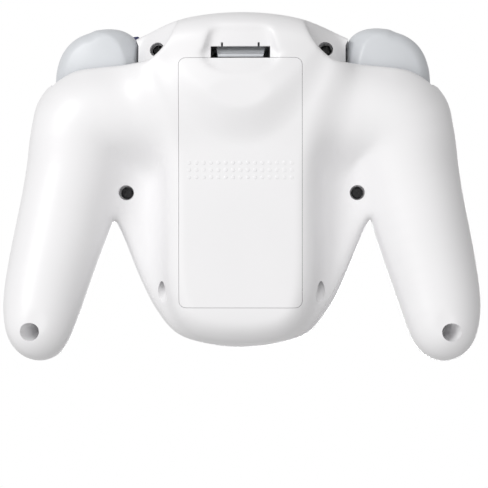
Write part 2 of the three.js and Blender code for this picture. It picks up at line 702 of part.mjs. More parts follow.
// A rubber sheet with one dome under each button.
function makeMembranes() {
  const z = BOARD.top + GAP;
  const sheet = (shape, domes, height) =>
    union([prism(shape, z, z + 1.1), ...domes.map(([x, y]) => rod(2.8, z + 0.6, z + height, x, y, 12))]);
  const actionDomes = Object.values(BUTTONS).filter((b) => b.top > 40).map(buttonStem);
  const centreDomes = Object.values(BUTTONS).filter((b) => b.top < 40).map(buttonStem);
  const actionSheet = circle(ACTIONS.x - 0.6, ACTIONS.y - 0.6, 15.5, 24);
  const clear = rod(4.4, 20, 40, SCREWS.middle.x, SCREWS.middle.y, 20);
  addNode('action_membrane', sheet(actionSheet, actionDomes, 1.4).subtract(clear), 'rubber');
  addNode('centre_membrane', sheet(roundedRectangle(5, -5, 19, 2), centreDomes, 1.4), 'rubber');
  const cross = [[6.5, 0], [-6.5, 0], [0, 6.5], [0, -6.5]].map(([x, y]) => [D_PAD.x + x, D_PAD.y + y]);
  addNode('d_pad_membrane', sheet(circle(D_PAD.x, D_PAD.y, 10.5, 20), cross, 3.4), 'rubber');
}

function lightOutline(grow) {
  const shape = new THREE.Shape();
  shape.absarc(4, 26, 1.1 + grow, -Math.PI / 2, Math.PI / 2, false);
  shape.absarc(-4, 26, 1.1 + grow, Math.PI / 2, 1.5 * Math.PI, false);
  return shape;
}

function makeStatusLight() {
  addNode('status_light', prism(lightOutline(0), BOARD.top + 2.5, FACE_Z + 0.1), 'lens');
}

// ---------------------------------------------------------------- direction pad
function makeDirectionPad() {
  const { x, y } = D_PAD;
  const rocker = rod(9.5, 30.8, 32.2, x, y).add(rod(1.5, 27.6, 31, x, y, 12));
  addNode('d_pad_rocker', rocker, 'dark');
  const cross = prism(crossShape(x, y, 9.9, 3.2), 33.6, 40.6, 0.6);
  const rim = rod(10.6, 33.5, 34.3, x, y);
  addNode('d_pad', union([cross, rim, rod(1.5, 32.5, 34, x, y, 12)]), 'grey');
}

// ---------------------------------------------------------------- sticks
// Heights are above the pivot. The shaft, the dome under the face and the thumb cap are one piece.
function stickProfile(capRadius, capHeight) {
  const inner = STICK.dome - 1.2;
  const arc = (radius, angle) => {
    const turn = THREE.MathUtils.degToRad(angle);
    return [radius * Math.sin(turn), radius * Math.cos(turn)];
  };
  const skirt = 76;
  const under = [14, 35, 56, skirt].map((angle) => arc(inner, angle));
  const over = [skirt, 55, 34].map((angle) => arc(STICK.dome, angle));
  const neck = STICK.dome * 0.36;
  return [
    [0, -0.9], [STICK.shaft, -0.9], [STICK.shaft, inner * 0.985], ...under, ...over,
    [neck, STICK.dome + 0.6], [neck * 0.86, capHeight - 6], [capRadius - 1, capHeight - 3],
    [capRadius, capHeight - 2], [capRadius, capHeight - 0.8], [capRadius - 0.9, capHeight],
    [capRadius - 2.2, capHeight - 0.5], [0, capHeight - 1.1],
  ];
}

function makeStick(name, place, capRadius, capHeight, colour) {
  const { x, y } = place;
  const z = STICK.pivot;
  const profile = stickProfile(capRadius, capHeight).map(([r, h]) => [r, z + h]);
  const cap = turned(profile, x, y, 18).add(crossRod('y', 0.6, 3.6, x, y, z, 8));
  addNode(name, cap, colour);

  const ring = rod(4.2, z - 1.2, z + 1.2, x, y, 16).subtract(rod(2.7, z - 2, z + 2, x, y, 12));
  const pins = crossRod('x', 0.7, 5.4, x, y, z, 8).subtract(rod(3.4, z - 2, z + 2, x, y, 16));
  const gimbal = ring.add(pins).subtract(crossRod('y', 0.9, 6, x, y, z, 12));
  addNode(`${name}_gimbal`, gimbal, 'steel');

  const block = box(x - 6, x + 6, y - 6, y + 6, BOARD.top + GAP, z + 3.6);
  const pocket = rod(4.8, BOARD.top - 1, z + 5, x, y, 20);
  addNode(`${name}_housing`, block.subtract(pocket).subtract(crossRod('x', 1, 8, x, y, z)), 'dark');
}

// ---------------------------------------------------------------- triggers and shoulder button
// Plan of a trigger: the broad paddle and the lower band beside it.
const PADDLE = [
  [55.7, 27], [55.7, 34.5], [54.3, 39.6], [51.2, 43.2], [46.5, 45.2], [42, 46.6], [39, 46.6],
  [36.4, 45.2], [35.4, 41], [35.4, 27],
];
const BAND = [[40, 27], [40, 46.4], [36, 45.4], [33.2, 43.4], [31.4, 40.4], [31.1, 37], [31.1, 27]];

function makeTrigger(word, side) {
  const outline = (points) => polygon(side > 0 ? points : points.map(([x, y]) => [-x, y]).reverse());
  const { back, front, skirt } = TRIGGER;
  const paddle = prism(outline(PADDLE), back, front, 2.6);
  const band = prism(outline(BAND), back + 3.2, front, 1.6);
  const clear = sideBox(side, 30, 57, skirt - 1, 33.2, BOARD.bottom - 0.8, front + 1);
  addNode(`trigger_${word}`, paddle.add(band).subtract(clear), 'grey');

  const sensor = sideBox(side, 39.5, 47.5, 8, 14, 15.6, BOARD.bottom - GAP);
  addNode(`trigger_sensor_${word}`, sensor, 'dark');
  const points = [];
  const steps = 40;
  for (let i = 0; i <= steps; i++) {
    const turn = (i / steps) * 5 * 2 * Math.PI;
    const y = 14.9 + ((skirt - 0.6 - 14.9) * i) / steps;
    points.push(new THREE.Vector3(side * 43.5 + 2.4 * Math.cos(turn), y, 19.4 + 2.4 * Math.sin(turn)));
  }
  addNode(`trigger_spring_${word}`, wire(points, 0.35, 40, 4), 'steel');
}

function makeShoulderButton() {
  const { x0, x1, z0, z1, back } = SHOULDER;
  const edge = [[x0, 44.9], [36, 43.1], [43, 40.1], [x1, 36.2]];
  const outline = polygon([[x0, back], [x1, back], ...edge.reverse()]);
  addNode('shoulder_button', prism(outline, z0, z1, 0.5), 'navy');
  addNode('shoulder_switch', box(36, 43, 27.6, back - 1.6, 28, 31.2), 'dark');
}

// ---------------------------------------------------------------- the assembly
makeBackShell();
makeFrontShell();
makeCover();
makeLatch();
makeTray();
makeBatteries();
makeScrews();
makeBoard();
makeMembranes();
makeStatusLight();
makeButtons();
makeDirectionPad();
makeStick('main_stick', MAIN_STICK, 9, 27, 'grey');
makeStick('small_stick', SMALL_STICK, 6.4, 22.5, 'amber');
for (const [word, side] of SIDES) makeTrigger(word, side);
makeShoulderButton();

export default group;
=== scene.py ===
import json
import math

import bmesh
import bpy
import numpy as np
from mathutils import Matrix, Vector


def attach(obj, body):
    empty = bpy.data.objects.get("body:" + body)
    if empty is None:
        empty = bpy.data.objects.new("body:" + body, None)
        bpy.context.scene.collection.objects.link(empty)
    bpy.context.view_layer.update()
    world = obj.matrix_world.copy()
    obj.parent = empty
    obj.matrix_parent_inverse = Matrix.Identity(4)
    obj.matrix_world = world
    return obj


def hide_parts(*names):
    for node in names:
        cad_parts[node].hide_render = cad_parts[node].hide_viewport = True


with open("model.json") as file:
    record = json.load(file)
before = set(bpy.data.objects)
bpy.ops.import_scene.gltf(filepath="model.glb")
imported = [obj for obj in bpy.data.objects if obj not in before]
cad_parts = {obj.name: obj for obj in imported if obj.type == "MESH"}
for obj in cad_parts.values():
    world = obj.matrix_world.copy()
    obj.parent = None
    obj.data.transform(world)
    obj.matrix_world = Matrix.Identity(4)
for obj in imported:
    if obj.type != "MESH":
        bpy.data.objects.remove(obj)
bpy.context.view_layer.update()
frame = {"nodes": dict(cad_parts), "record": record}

MM = 0.001
SIDES = (("left", -1), ("right", 1))


# ---------------------------------------------------------------- camera
VIEW_TARGET = Vector((-0.6, -17.0, 18.0)) * MM   # the controller sits in the upper part of the picture
VIEW_DISTANCE = 0.615
VIEW_WIDTH = 0.1445                              # width that the picture takes in at the target
VIEW_TURN = math.radians(1.8)


def make_camera():
    data = bpy.data.cameras.new("camera")
    data.sensor_width = 36.0
    data.lens = data.sensor_width * VIEW_DISTANCE / VIEW_WIDTH
    camera = bpy.data.objects.new("camera", data)
    bpy.context.collection.objects.link(camera)
    back = Vector((-math.sin(VIEW_TURN), 0, -math.cos(VIEW_TURN)))
    camera.location = VIEW_TARGET + VIEW_DISTANCE * back
    right = Vector((0, 1, 0)).cross(back).normalized()
    up = back.cross(right)
    turn = Matrix((right, up, back)).transposed().to_4x4()
    camera.matrix_world = Matrix.Translation(camera.location) @ turn
    bpy.context.scene.camera = camera


make_camera()


# ---------------------------------------------------------------- the moulded body as a distance field
# Right half of the plan outline, from the middle of the top edge round the grip to the middle of the lobe.
OUTLINE = [
    (0, 51), (8, 50.6), (16, 49.3), (24, 46.9), (31, 43.9), (42, 39), (50.5, 34.9), (57, 31.3),
    (61.1, 26.2), (62.6, 18), (63.9, 10), (65.4, -1.6), (67.3, -11.5), (69, -20.6), (70.2, -30),
    (70.1, -37.5), (68, -45.2), (64.2, -49.9), (59.2, -51.6), (54.4, -50.2), (50.3, -46),
    (47.1, -38.5), (44.2, -30), (41.1, -20.6), (39, -13.4), (37.9, -10), (36.4, -13),
    (33.6, -20.6), (29.8, -29.5), (25.4, -37), (19.2, -43.6), (10, -46.5), (0, -47.5),
]
# Right half of the battery hump at HUMP_Z. Its sides lean out by HUMP_LEAN.
HUMP = [
    (0, 50), (12, 49.2), (20, 47.2), (26, 43.4), (29, 38), (29, 31), (25.5, 21), (22.3, 11), (20.9, 0),
    (20.6, -20), (20.2, -27), (19.2, -33), (17, -38.6), (12.4, -42.3), (6, -43.9), (0, -44.2),
]
HUMP_Z = 5
HUMP_LEAN = 0.42
# Edge of the wing over the trigger, closed outside the body. Beyond it the back steps up to POCKET_Z,
# or by POCKET_RISE less beside the hump.
WING_EDGE = [
    (56.3, 50), (56.3, 42), (56.3, 35), (56, 32), (54.4, 31.9), (49.4, 34), (42, 35), (36, 35.5),
    (31, 36), (27.3, 36.5), (24, 38.8), (21.4, 41.8), (19.7, 45), (18.5, 48.6), (17, 58), (56.3, 58),
]
POCKET_Z = 17
POCKET_RISE = 8
# Centre line and radius of the round bar that makes a wing and its grip: x, y, z, radius.
GRIP = [
    (0, 26, 20, 14.5), (26, 22.5, 21.5, 15.5), (45.2, 18.8, 22.5, 16.9), (49.5, 4, 20.8, 15.2),
    (53.1, -12, 18.5, 14.4), (57.2, -30, 14.5, 13), (59, -40.6, 11.1, 11.4),
]
FACE_Z = 36.5
FLANGE_Z = 15.5
PARTING = (21, 0.16)     # the shells part at z = 21 + 0.16 y
MAIN_STICK = (-43, 17, 15.5, 39.4)      # raised parts of the face: x, y, radius, top
SMALL_STICK = (18.6, -17.2, 14.2, 38)
D_PAD = (-18.6, -17.2, 14.2, 38)
ACTIONS = (41.5, 13.5, 18, 38.6)
COVER_FLAT_Z = 3.6


def smooth_step(low, high, value):
    t = np.clip((value - low) / (high - low), 0, 1)
    return t * t * (3 - 2 * t)


def smooth_min(a, b, blend):
    h = np.clip(0.5 + 0.5 * (b - a) / blend, 0, 1)
    return b + (a - b) * h - blend * h * (1 - h)


def smooth_max(a, b, blend):
    return -smooth_min(-a, -b, blend)


def spline(points, steps, closed):
    """Points on a uniform Catmull-Rom curve through the given ones."""
    p = np.array(points, float)
    if closed:
        p = np.vstack([p[-1:], p, p[:2]])
    else:
        p = np.vstack([2 * p[0] - p[1], p, 2 * p[-1] - p[-2]])
    t = (np.arange(steps) / steps)[:, None]
    out = []
    for a, b, c, d in zip(p, p[1:], p[2:], p[3:]):
        bend = (2 * a - 5 * b + 4 * c - d) * t**2 + (3 * b - a - 3 * c + d) * t**3
        out.append(0.5 * (2 * b + (c - a) * t + bend))
    return np.vstack(out) if closed else np.vstack(out + [p[-2:-1]])


def mirrored(half):
    return half + [(-x, y) for x, y in half[-2:0:-1]]


def loop_distance(loop, x, y):
    """Distance in plan to a closed loop, negative inside."""
    x, y = np.broadcast_arrays(x, y)
    nearest = np.full(x.shape, np.inf)
    inside = np.zeros(x.shape, bool)
    for (ax, ay), (bx, by) in zip(np.roll(loop, 1, axis=0), loop):
        ex, ey = bx - ax, by - ay
        t = np.clip(((x - ax) * ex + (y - ay) * ey) / (ex * ex + ey * ey), 0, 1)
        nearest = np.minimum(nearest, np.hypot(x - ax - t * ex, y - ay - t * ey))
        if ay != by:
            inside ^= ((ay > y) != (by > y)) & (x < ax + (y - ay) * ex / ey)
    return np.where(inside, -nearest, nearest)


def plate(d, z, z0, z1, rounding):
    """Distance to a plate of plan distance d between two heights, with rounded edges."""
    side = d + rounding
    cap = np.abs(z - (z0 + z1) / 2) - (z1 - z0) / 2 + rounding
    return np.minimum(np.maximum(side, cap), 0) + np.hypot(np.maximum(side, 0), np.maximum(cap, 0)) - rounding


def grip_distance(x, y, z):
    line = spline(GRIP, 4, closed=False)
    distance = None
    for a, b in zip(line, line[1:]):
        ex, ey, ez = b[:3] - a[:3]
        t = ((x - a[0]) * ex + (y - a[1]) * ey + (z - a[2]) * ez) / (ex * ex + ey * ey + ez * ez)
        t = np.clip(t, 0, 1)
        radius = a[3] + t * (b[3] - a[3])
        off = np.sqrt((x - a[0] - t * ex) ** 2 + (y - a[1] - t * ey) ** 2 + (z - a[2] - t * ez) ** 2)
        distance = off - radius if distance is None else smooth_min(distance, off - radius, 1.2)
    return distance


def square_above(value):
    return np.maximum(value, 0) ** 2


def hump_back(x, y):
    """Height of the back of the hump: a bulge at the latch end, a flat cover, and a lip at each end."""
    edge = 11.0 + 9.0 * (x / 17) ** 2
    bulge = smooth_step(0, 1, (y - edge) / 15)
    fall = 1.2 * smooth_step(26, 38, y)
    back = COVER_FLAT_Z * (1 - bulge) + (1.7 * (x / 18) ** 2 - 0.5) * bulge + fall
    return back + 0.018 * square_above(-35 - y) + 0.035 * square_above(y - 41) + 0.4 * (x / 22) ** 2


def scoop_depth(x, y, z):
    """Recess round the latch: a trapezium in the shell with a crescent below it in the cover."""
    side = (x - 8.2 - 0.3 * (47.0 - y)) * 0.96
    shell_part = smooth_max(side, y - 46.8, 2.5)
    crescent = (np.hypot(x / 11.2, (y - 38.6) / 6.3) - 1) * 6
    plan = np.where(y > 38.6, shell_part, crescent)
    depth = 2.2 - 0.36 * np.maximum(38.6 - y, 0) - 0.018 * square_above(y - 38.6)
    return smooth_max(plan, z - hump_back(x, y) - depth, 0.5 + 2 * smooth_step(34, 39, y))


def pod(x, y, z, place):
    return plate(np.hypot(x - place[0], y - place[1]) - place[2], z, 24, place[3], 2.5)


def body_field(px, y, z):
    """Distance to the outside of the body on a grid given as three broadcastable arrays."""
    x = np.abs(px)
    plan = loop_distance(spline(mirrored(OUTLINE), 8, True), x, y)
    drop = 4 * (x / 60) ** 2 + 0.012 * square_above(-22 - y) + 0.01 * square_above(y - 30)
    slab_plan = smooth_max(smooth_max(plan, x - 50, 6), smooth_min(x - 40, -13 - y, 4), 6)
    slab = plate(slab_plan, z, FLANGE_Z, FACE_Z - drop, 4.5)
    hump_plan = loop_distance(spline(mirrored(HUMP), 8, True), x, y) - (z - HUMP_Z) * HUMP_LEAN
    hump = 0.92 * plate(hump_plan, z, hump_back(x, y), 30, 4)
    body = smooth_min(slab, hump, 5)
    body = smooth_min(body, grip_distance(x, y, z), 7)
    for place in (MAIN_STICK, ACTIONS, SMALL_STICK, D_PAD):
        body = smooth_min(body, pod(px, y, z, place), 4)
    body = smooth_max(body, plan, 2.5)
    wing = loop_distance(spline(WING_EDGE, 8, True), x, y)
    slope = POCKET_Z - POCKET_RISE * smooth_step(31.5, 27.5, x) * (1 - np.clip(-wing / 7, 0, 1))
    body = smooth_max(body, -np.maximum(wing, z - slope), 0.8)
    body = smooth_max(body, -scoop_depth(x, y, z), 1.0)
    return np.maximum(body, -z)


# ---------------------------------------------------------------- meshing a field
CORNERS = [np.array((i, j, k)) for i in (0, 1) for j in (0, 1) for k in (0, 1)]
CELL_EDGES = [(a, b) for a in CORNERS for b in CORNERS if (b - a).sum() == 1 and (b >= a).all()]


class Grid:
    """A field sampled on a grid of cells between two corners, in millimetres."""

    def __init__(self, field, low, high, cell):
        self.low = np.array(low, float)
        self.cell = cell
        axes = [np.arange(a, b + cell, cell) for a, b in zip(low, high)]
        x, y, z = np.meshgrid(*axes, indexing="ij", sparse=True)
        self.value = np.broadcast_to(field(x, y, z), [len(a) for a in axes]).astype(np.float32)
        self.slope = None

    def at(self, samples, points):
        """The sampled values at any points, read linearly between the grid's."""
        place = (points - self.low) / self.cell
        place = np.clip(place, 0, np.array(samples.shape[:3]) - 1.001)
        base = place.astype(int)
        part = place - base
        total = 0
        for corner in CORNERS:
            weight = np.prod(np.where(corner, part, 1 - part), axis=1)
            sample = samples[tuple((base + corner).T)]
            total = total + (weight[:, None] * sample if sample.ndim > 1 else weight * sample)
        return total

    def normals(self, points):
        if self.slope is None:
            self.slope = np.stack(np.gradient(self.value, self.cell), axis=-1)
        slope = self.at(self.slope, points)
        return slope / np.maximum(np.linalg.norm(slope, axis=1, keepdims=True), 1e-9)

    def surface(self, level=0.0):
        """Points and four-sided faces of the closed surface where the field equals the level."""
        value = self.value - level
        inside = value < 0
        shape = np.array(value.shape) - 1
        blocks = [tuple(slice(c, c + n) for c, n in zip(corner, shape)) for corner in CORNERS]
        count = sum(inside[block].astype(int) for block in blocks)
        mixed = (count > 0) & (count < 8)
        cells = np.argwhere(mixed)
        index = np.full(value.shape, -1)
        index[tuple(cells.T)] = np.arange(len(cells))
        total = np.zeros((len(cells), 3))
        hits = np.zeros(len(cells))
        for a, b in CELL_EDGES:
            va = value[tuple((cells + a).T)]
            vb = value[tuple((cells + b).T)]
            cross = (va < 0) != (vb < 0)
            t = np.where(cross, va / np.where(cross, va - vb, 1), 0)
            total += np.where(cross[:, None], a + t[:, None] * (b - a), 0)
            hits += cross
        points = self.low + self.cell * (cells + total / hits[:, None])
        faces = []
        unit = np.eye(3, dtype=int)
        for axis in range(3):
            u, v = unit[(axis + 1) % 3], unit[(axis + 2) % 3]
            here = inside[tuple(slice(0, -1) if k == axis else slice(1, None) for k in range(3))]
            there = inside[tuple(slice(1, None) for k in range(3))]
            start = np.argwhere(here != there) + (u + v)
            quad = np.stack([index[tuple((start - s).T)] for s in (0 * u, u, u + v, v)], axis=1)
            outward = inside[tuple(start.T)]
            faces.append(np.where(outward[:, None], quad, quad[:, ::-1]))
        return points, np.vstack(faces)


# ---------------------------------------------------------------- objects
def add_object(name, mesh):
    piece = bpy.data.objects.new(name, mesh)
    bpy.context.collection.objects.link(piece)
    return piece


def mesh_of(name, points, faces):
    """A mesh from points in millimetres and faces of equal size."""
    points = np.asarray(points, np.float32) * MM
    faces = np.asarray(faces, np.int32)
    corners = faces.shape[1]
    mesh = bpy.data.meshes.new(name)
    mesh.vertices.add(len(points))
    mesh.vertices.foreach_set("co", points.ravel())
    mesh.loops.add(faces.size)
    mesh.loops.foreach_set("vertex_index", faces.ravel())
    mesh.polygons.add(len(faces))
    mesh.polygons.foreach_set("loop_start", np.arange(0, faces.size, corners, dtype=np.int32))
    mesh.update(calc_edges=True)
    return mesh


def mesh_points(mesh):
    flat = np.empty(3 * len(mesh.vertices), np.float32)
    mesh.vertices.foreach_get("co", flat)
    return flat.reshape(-1, 3) / MM


def bake(piece):
    """Applies the modifiers of a piece to its mesh."""
    graph = bpy.context.evaluated_depsgraph_get()
    mesh = bpy.data.meshes.new_from_object(piece.evaluated_get(graph))
    old = piece.data
    piece.modifiers.clear()
    piece.data = mesh
    bpy.data.meshes.remove(old)


def combine(piece, other, operation):
    """Cuts the other object from a piece, joins it on or keeps what they share. The other one is used up."""
    modifier = piece.modifiers.new("combine", "BOOLEAN")
    modifier.operation = operation
    modifier.solver = "MANIFOLD"
    modifier.object = other
    bake(piece)
    bpy.data.objects.remove(other)


def cut(piece, *cutters):
    for cutter in cutters:
        combine(piece, cutter, "DIFFERENCE")


def join(piece, *others):
    for other in others:
        combine(piece, other, "UNION")


def keep(piece, other):
    combine(piece, other, "INTERSECT")


def shade(piece, grid=None, angle=32):
    """Smooth shading with creases at sharp edges. On the surface of a grid its slope gives the normals."""
    mesh = piece.data
    mesh.shade_smooth()
    mesh.set_sharp_from_angle(angle=math.radians(angle))
    if grid is None:
        return
    corner = np.empty(3 * len(mesh.loops), np.float32)
    mesh.corner_normals.foreach_get("vector", corner)
    corner = corner.reshape(-1, 3)
    vertex = np.empty(len(mesh.loops), np.int32)
    mesh.loops.foreach_get("vertex_index", vertex)
    points = mesh_points(mesh)
    near = np.abs(grid.at(grid.value, points)) < 0.25 * grid.cell
    slope = grid.normals(points)
    agree = np.einsum("ij,ij->i", corner, slope[vertex]) > 0.9
    use = near[vertex] & agree
    corner[use] = slope[vertex][use]
    mesh.normals_split_custom_set(corner)


def duplicate(piece):
    return add_object(piece.name, piece.data.copy())


def gather(pieces):
    """Puts pieces that don't touch into one object."""
    together = bmesh.new()
    for piece in pieces:
        together.from_mesh(piece.data)
        bpy.data.objects.remove(piece)
    mesh = bpy.data.meshes.new("gathered")
    together.to_mesh(mesh)
    together.free()
    return add_object("gathered", mesh)


def fix_normals(piece):
    """Turns every face of a closed piece outwards."""
    work = bmesh.new()
    work.from_mesh(piece.data)
    bmesh.ops.recalc_face_normals(work, faces=work.faces)
    work.to_mesh(piece.data)
    work.free()


def box(x0, x1, y0, y1, z0, z1):
    corner = [(x, y, z) for x in (x0, x1) for y in (y0, y1) for z in (z0, z1)]
    faces = [(0, 1, 3, 2), (4, 6, 7, 5), (0, 4, 5, 1), (2, 3, 7, 6), (0, 2, 6, 4), (1, 5, 7, 3)]
    return add_object("box", mesh_of("box", corner, faces))


def side_box(side, x0, x1, *rest):
    return box(x0, x1, *rest) if side > 0 else box(-x1, -x0, *rest)


def rounded(points, radius, closed=True, steps=5):
    """The outline with an arc at each corner. radius is one number, or one for each corner."""
    points = [np.array(p, float) for p in points]
    radii = radius if hasattr(radius, "__len__") else [radius] * len(points)
    out = []
    for i, (p, r) in enumerate(zip(points, radii)):
        if r == 0 or (not closed and i in (0, len(points) - 1)):
            out.append(p)
            continue
        before = points[i - 1] - p
        after = points[(i + 1) % len(points)] - p
        lengths = np.linalg.norm(before), np.linalg.norm(after)
        before, after = before / lengths[0], after / lengths[1]
        half = math.acos(np.clip(before @ after, -1, 1)) / 2
        reach = min(r / math.tan(half), 0.48 * min(lengths))
        r = reach * math.tan(half)
        centre = p + (before + after) / np.linalg.norm(before + after) * r / math.sin(half)
        a, b = p + before * reach - centre, p + after * reach - centre
        turn = math.atan2(a[0] * b[1] - a[1] * b[0], a @ b)
        for k in range(steps + 1):
            c, s = math.cos(turn * k / steps), math.sin(turn * k / steps)
            out.append(centre + np.array((c * a[0] - s * a[1], s * a[0] + c * a[1])))
    return [tuple(p) for p in out]


def turned(name, profile, x=0.0, y=0.0, sides=64):
    """A profile of (radius, height), from the axis round to the axis, turned about a vertical line."""
    rings = [(r, z) for r, z in profile if r > 1e-6]
    angles = 2 * np.pi * np.arange(sides) / sides
    points = [(x + r * np.cos(a), y + r * np.sin(a), z) for r, z in rings for a in angles]
    points += [(x, y, profile[0][1]), (x, y, profile[-1][1])]
    first, last = len(points) - 2, len(points) - 1
    faces = []
    for k in range(len(rings) - 1):
        for i in range(sides):
            j = (i + 1) % sides
            faces.append((k * sides + i, k * sides + j, (k + 1) * sides + j, (k + 1) * sides + i))
    end = (len(rings) - 1) * sides
    faces += [(first, (i + 1) % sides, i) for i in range(sides)]
    faces += [(last, end + i, end + (i + 1) % sides) for i in range(sides)]
    mesh = bpy.data.meshes.new(name)
    mesh.from_pydata([Vector(p) * MM for p in points], [], faces)
    return add_object(name, mesh)


def ring_of(name, section, x, y, sides):
    """A closed section of (radius, height) turned about a vertical line, clear of the axis."""
    angles = 2 * np.pi * np.arange(sides) / sides
    points = [(x + r * np.cos(a), y + r * np.sin(a), z) for r, z in section for a in angles]
    n = len(section)
    faces = []
    for k in range(n):
        for i in range(sides):
            j, m = (i + 1) % sides, (k + 1) % n
            faces.append((k * sides + i, k * sides + j, m * sides + j, m * sides + i))
    mesh = bpy.data.meshes.new(name)
    mesh.from_pydata([Vector(p) * MM for p in points], [], faces)
    piece = add_object(name, mesh)
    fix_normals(piece)
    return piece


def rod(radius, z0, z1, x=0.0, y=0.0, sides=48):
    return turned("rod", [(0, z0), (radius, z0), (radius, z1), (0, z1)], x, y, sides)


def prism(name, outline, z0, z1):
    """A plan outline pushed up from z0 to z1."""
    n = len(outline)
    points = [(x, y, z) for z in (z0, z1) for x, y in outline]
    sides = [(i, (i + 1) % n, n + (i + 1) % n, n + i) for i in range(n)]
    mesh = bpy.data.meshes.new(name)
    ends = [tuple(range(n))[::-1], tuple(range(n, 2 * n))]
    mesh.from_pydata([Vector(p) * MM for p in points], [], [*ends, *sides])
    area = sum(a[0] * b[1] - b[0] * a[1] for a, b in zip(outline, outline[1:] + outline[:1]))
    if area < 0:
        mesh.flip_normals()
    return add_object(name, mesh)


def side_prism(name, outline, x0, x1):
    """A side outline of (y, z) made thick from x0 to x1."""
    piece = prism(name, outline, x0, x1)
    swap = Matrix(((0, 0, 1, 0), (1, 0, 0, 0), (0, 1, 0, 0), (0, 0, 0, 1)))
    piece.data.transform(swap)
    return piece


def soften(piece, width, segments=3, angle=35):
    """Rounds the edges of a piece."""
    modifier = piece.modifiers.new("soften", "BEVEL")
    modifier.width = width * MM
    modifier.segments = segments
    modifier.limit_method = "ANGLE"
    modifier.angle_limit = math.radians(angle)
    modifier.harden_normals = False
    bake(piece)
    shade(piece, angle=50)


def finish_piece(piece, name, body, slot, *nodes):
    piece.name = name
    piece.data.name = name
    piece.data.materials.clear()
    piece.data.materials.append(MATERIALS[slot])
    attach(piece, body)
    if nodes:
        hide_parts(*nodes)


SLOTS = {part["node"]: part["material_slot"] for part in frame["record"]["subparts"]}


# ---------------------------------------------------------------- materials
class Shader:
    """A node material with short calls for the usual nodes."""

    def __init__(self, name):
        self.material = bpy.data.materials.new(name)
        self.material.use_nodes = True
        self.tree = self.material.node_tree
        self.surface = self.tree.nodes["Principled BSDF"]

    def node(self, kind, **inputs):
        made = self.tree.nodes.new(kind)
        for key, value in inputs.items():
            self.give(made, key.replace("_", " "), value)
        return made

    def give(self, node, socket, value):
        if isinstance(value, bpy.types.NodeSocket):
            self.tree.links.new(value, node.inputs[socket])
        else:
            node.inputs[socket].default_value = value

    def place(self):
        return self.node("ShaderNodeTexCoord").outputs["Object"]

    def noise(self, scale, detail=2.0, roughness=0.5):
        values = {"Scale": scale, "Detail": detail, "Roughness": roughness}
        return self.node("ShaderNodeTexNoise", Vector=self.place(), **values).outputs["Fac"]

    def ramp(self, value, low, high, out_low, out_high):
        values = {"From_Min": low, "From_Max": high, "To_Min": out_low, "To_Max": out_high}
        return self.node("ShaderNodeMapRange", Value=value, **values).outputs["Result"]

    def blend(self, amount, a, b):
        node = self.node("ShaderNodeMix")
        node.data_type = "RGBA"
        self.give(node, 0, amount)
        self.give(node, 6, a)
        self.give(node, 7, b)
        return node.outputs[2]

    def bump(self, height, strength, distance):
        node = self.node("ShaderNodeBump", Strength=strength, Distance=distance, Height=height)
        self.give(self.surface, "Normal", node.outputs["Normal"])

    def set(self, **inputs):
        for key, value in inputs.items():
            self.give(self.surface, key.replace("_", " "), value)
        return self.material


def linear(r, g, b):
    """A display colour of 0 to 255 as the linear colour that a shader takes."""
    part = [c / 255 for c in (r, g, b)]
    return (*[c / 12.92 if c <= 0.04045 else ((c + 0.055) / 1.055) ** 2.4 for c in part], 1.0)


def plastic(name, colour, roughness=0.36, grain=0.10, variation=0.03, coat=0.0):
    """Moulded plastic: a fine spark-eroded grain, slight clouding of the colour and uneven gloss."""
    s = Shader(name)
    base = linear(*colour)
    darker = tuple(c * (1 - variation) for c in base[:3]) + (1.0,)
    cloud = s.ramp(s.noise(38.0, 3.0), 0.35, 0.65, 0.0, 1.0)
    gloss = s.ramp(s.noise(120.0, 4.0), 0.3, 0.7, roughness - 0.04, roughness + 0.05)
    s.bump(s.noise(3800.0, 2.0, 0.6), grain, 0.00006)
    return s.set(Base_Color=s.blend(cloud, base, darker), Roughness=gloss, Coat_Weight=coat)


MATERIALS = {
    "shell_white": plastic("shell_white", (242, 241.5, 243), 0.34, 0.08, 0.015),
    "grey_plastic": plastic("grey_plastic", (214, 217, 221), 0.33, 0.07),
    "stick_grey": plastic("stick_grey", (176, 179, 184), 0.5, 0.2, 0.05),
    "amber_plastic": plastic("amber_plastic", (226, 176, 68), 0.4, 0.15, 0.05),
    "teal_plastic": plastic("teal_plastic", (38, 148, 128), 0.25, 0.05, 0.06, 0.3),
    "red_plastic": plastic("red_plastic", (176, 44, 50), 0.25, 0.05, 0.06, 0.3),
    "navy_plastic": plastic("navy_plastic", (26, 34, 92), 0.28, 0.05, 0.08, 0.2),
    "dark_plastic": plastic("dark_plastic", (42, 43, 47), 0.5, 0.2, 0.1),
    "screw_black": plastic("screw_black", (22, 22, 24), 0.38, 0.3, 0.3),
    "steel": plastic("steel", (190, 192, 196), 0.3, 0.1, 0.1),
    "board_green": plastic("board_green", (28, 92, 60), 0.35, 0.1, 0.25),
    "silicone": plastic("silicone", (188, 192, 198), 0.7, 0.1, 0.05),
    "clear_lens": plastic("clear_lens", (226, 232, 236), 0.15, 0.02, 0.02),
    "cell_sleeve": plastic("cell_sleeve", (58, 104, 146), 0.3, 0.03, 0.05),
}
MATERIALS["steel"].node_tree.nodes["Principled BSDF"].inputs["Metallic"].default_value = 1.0


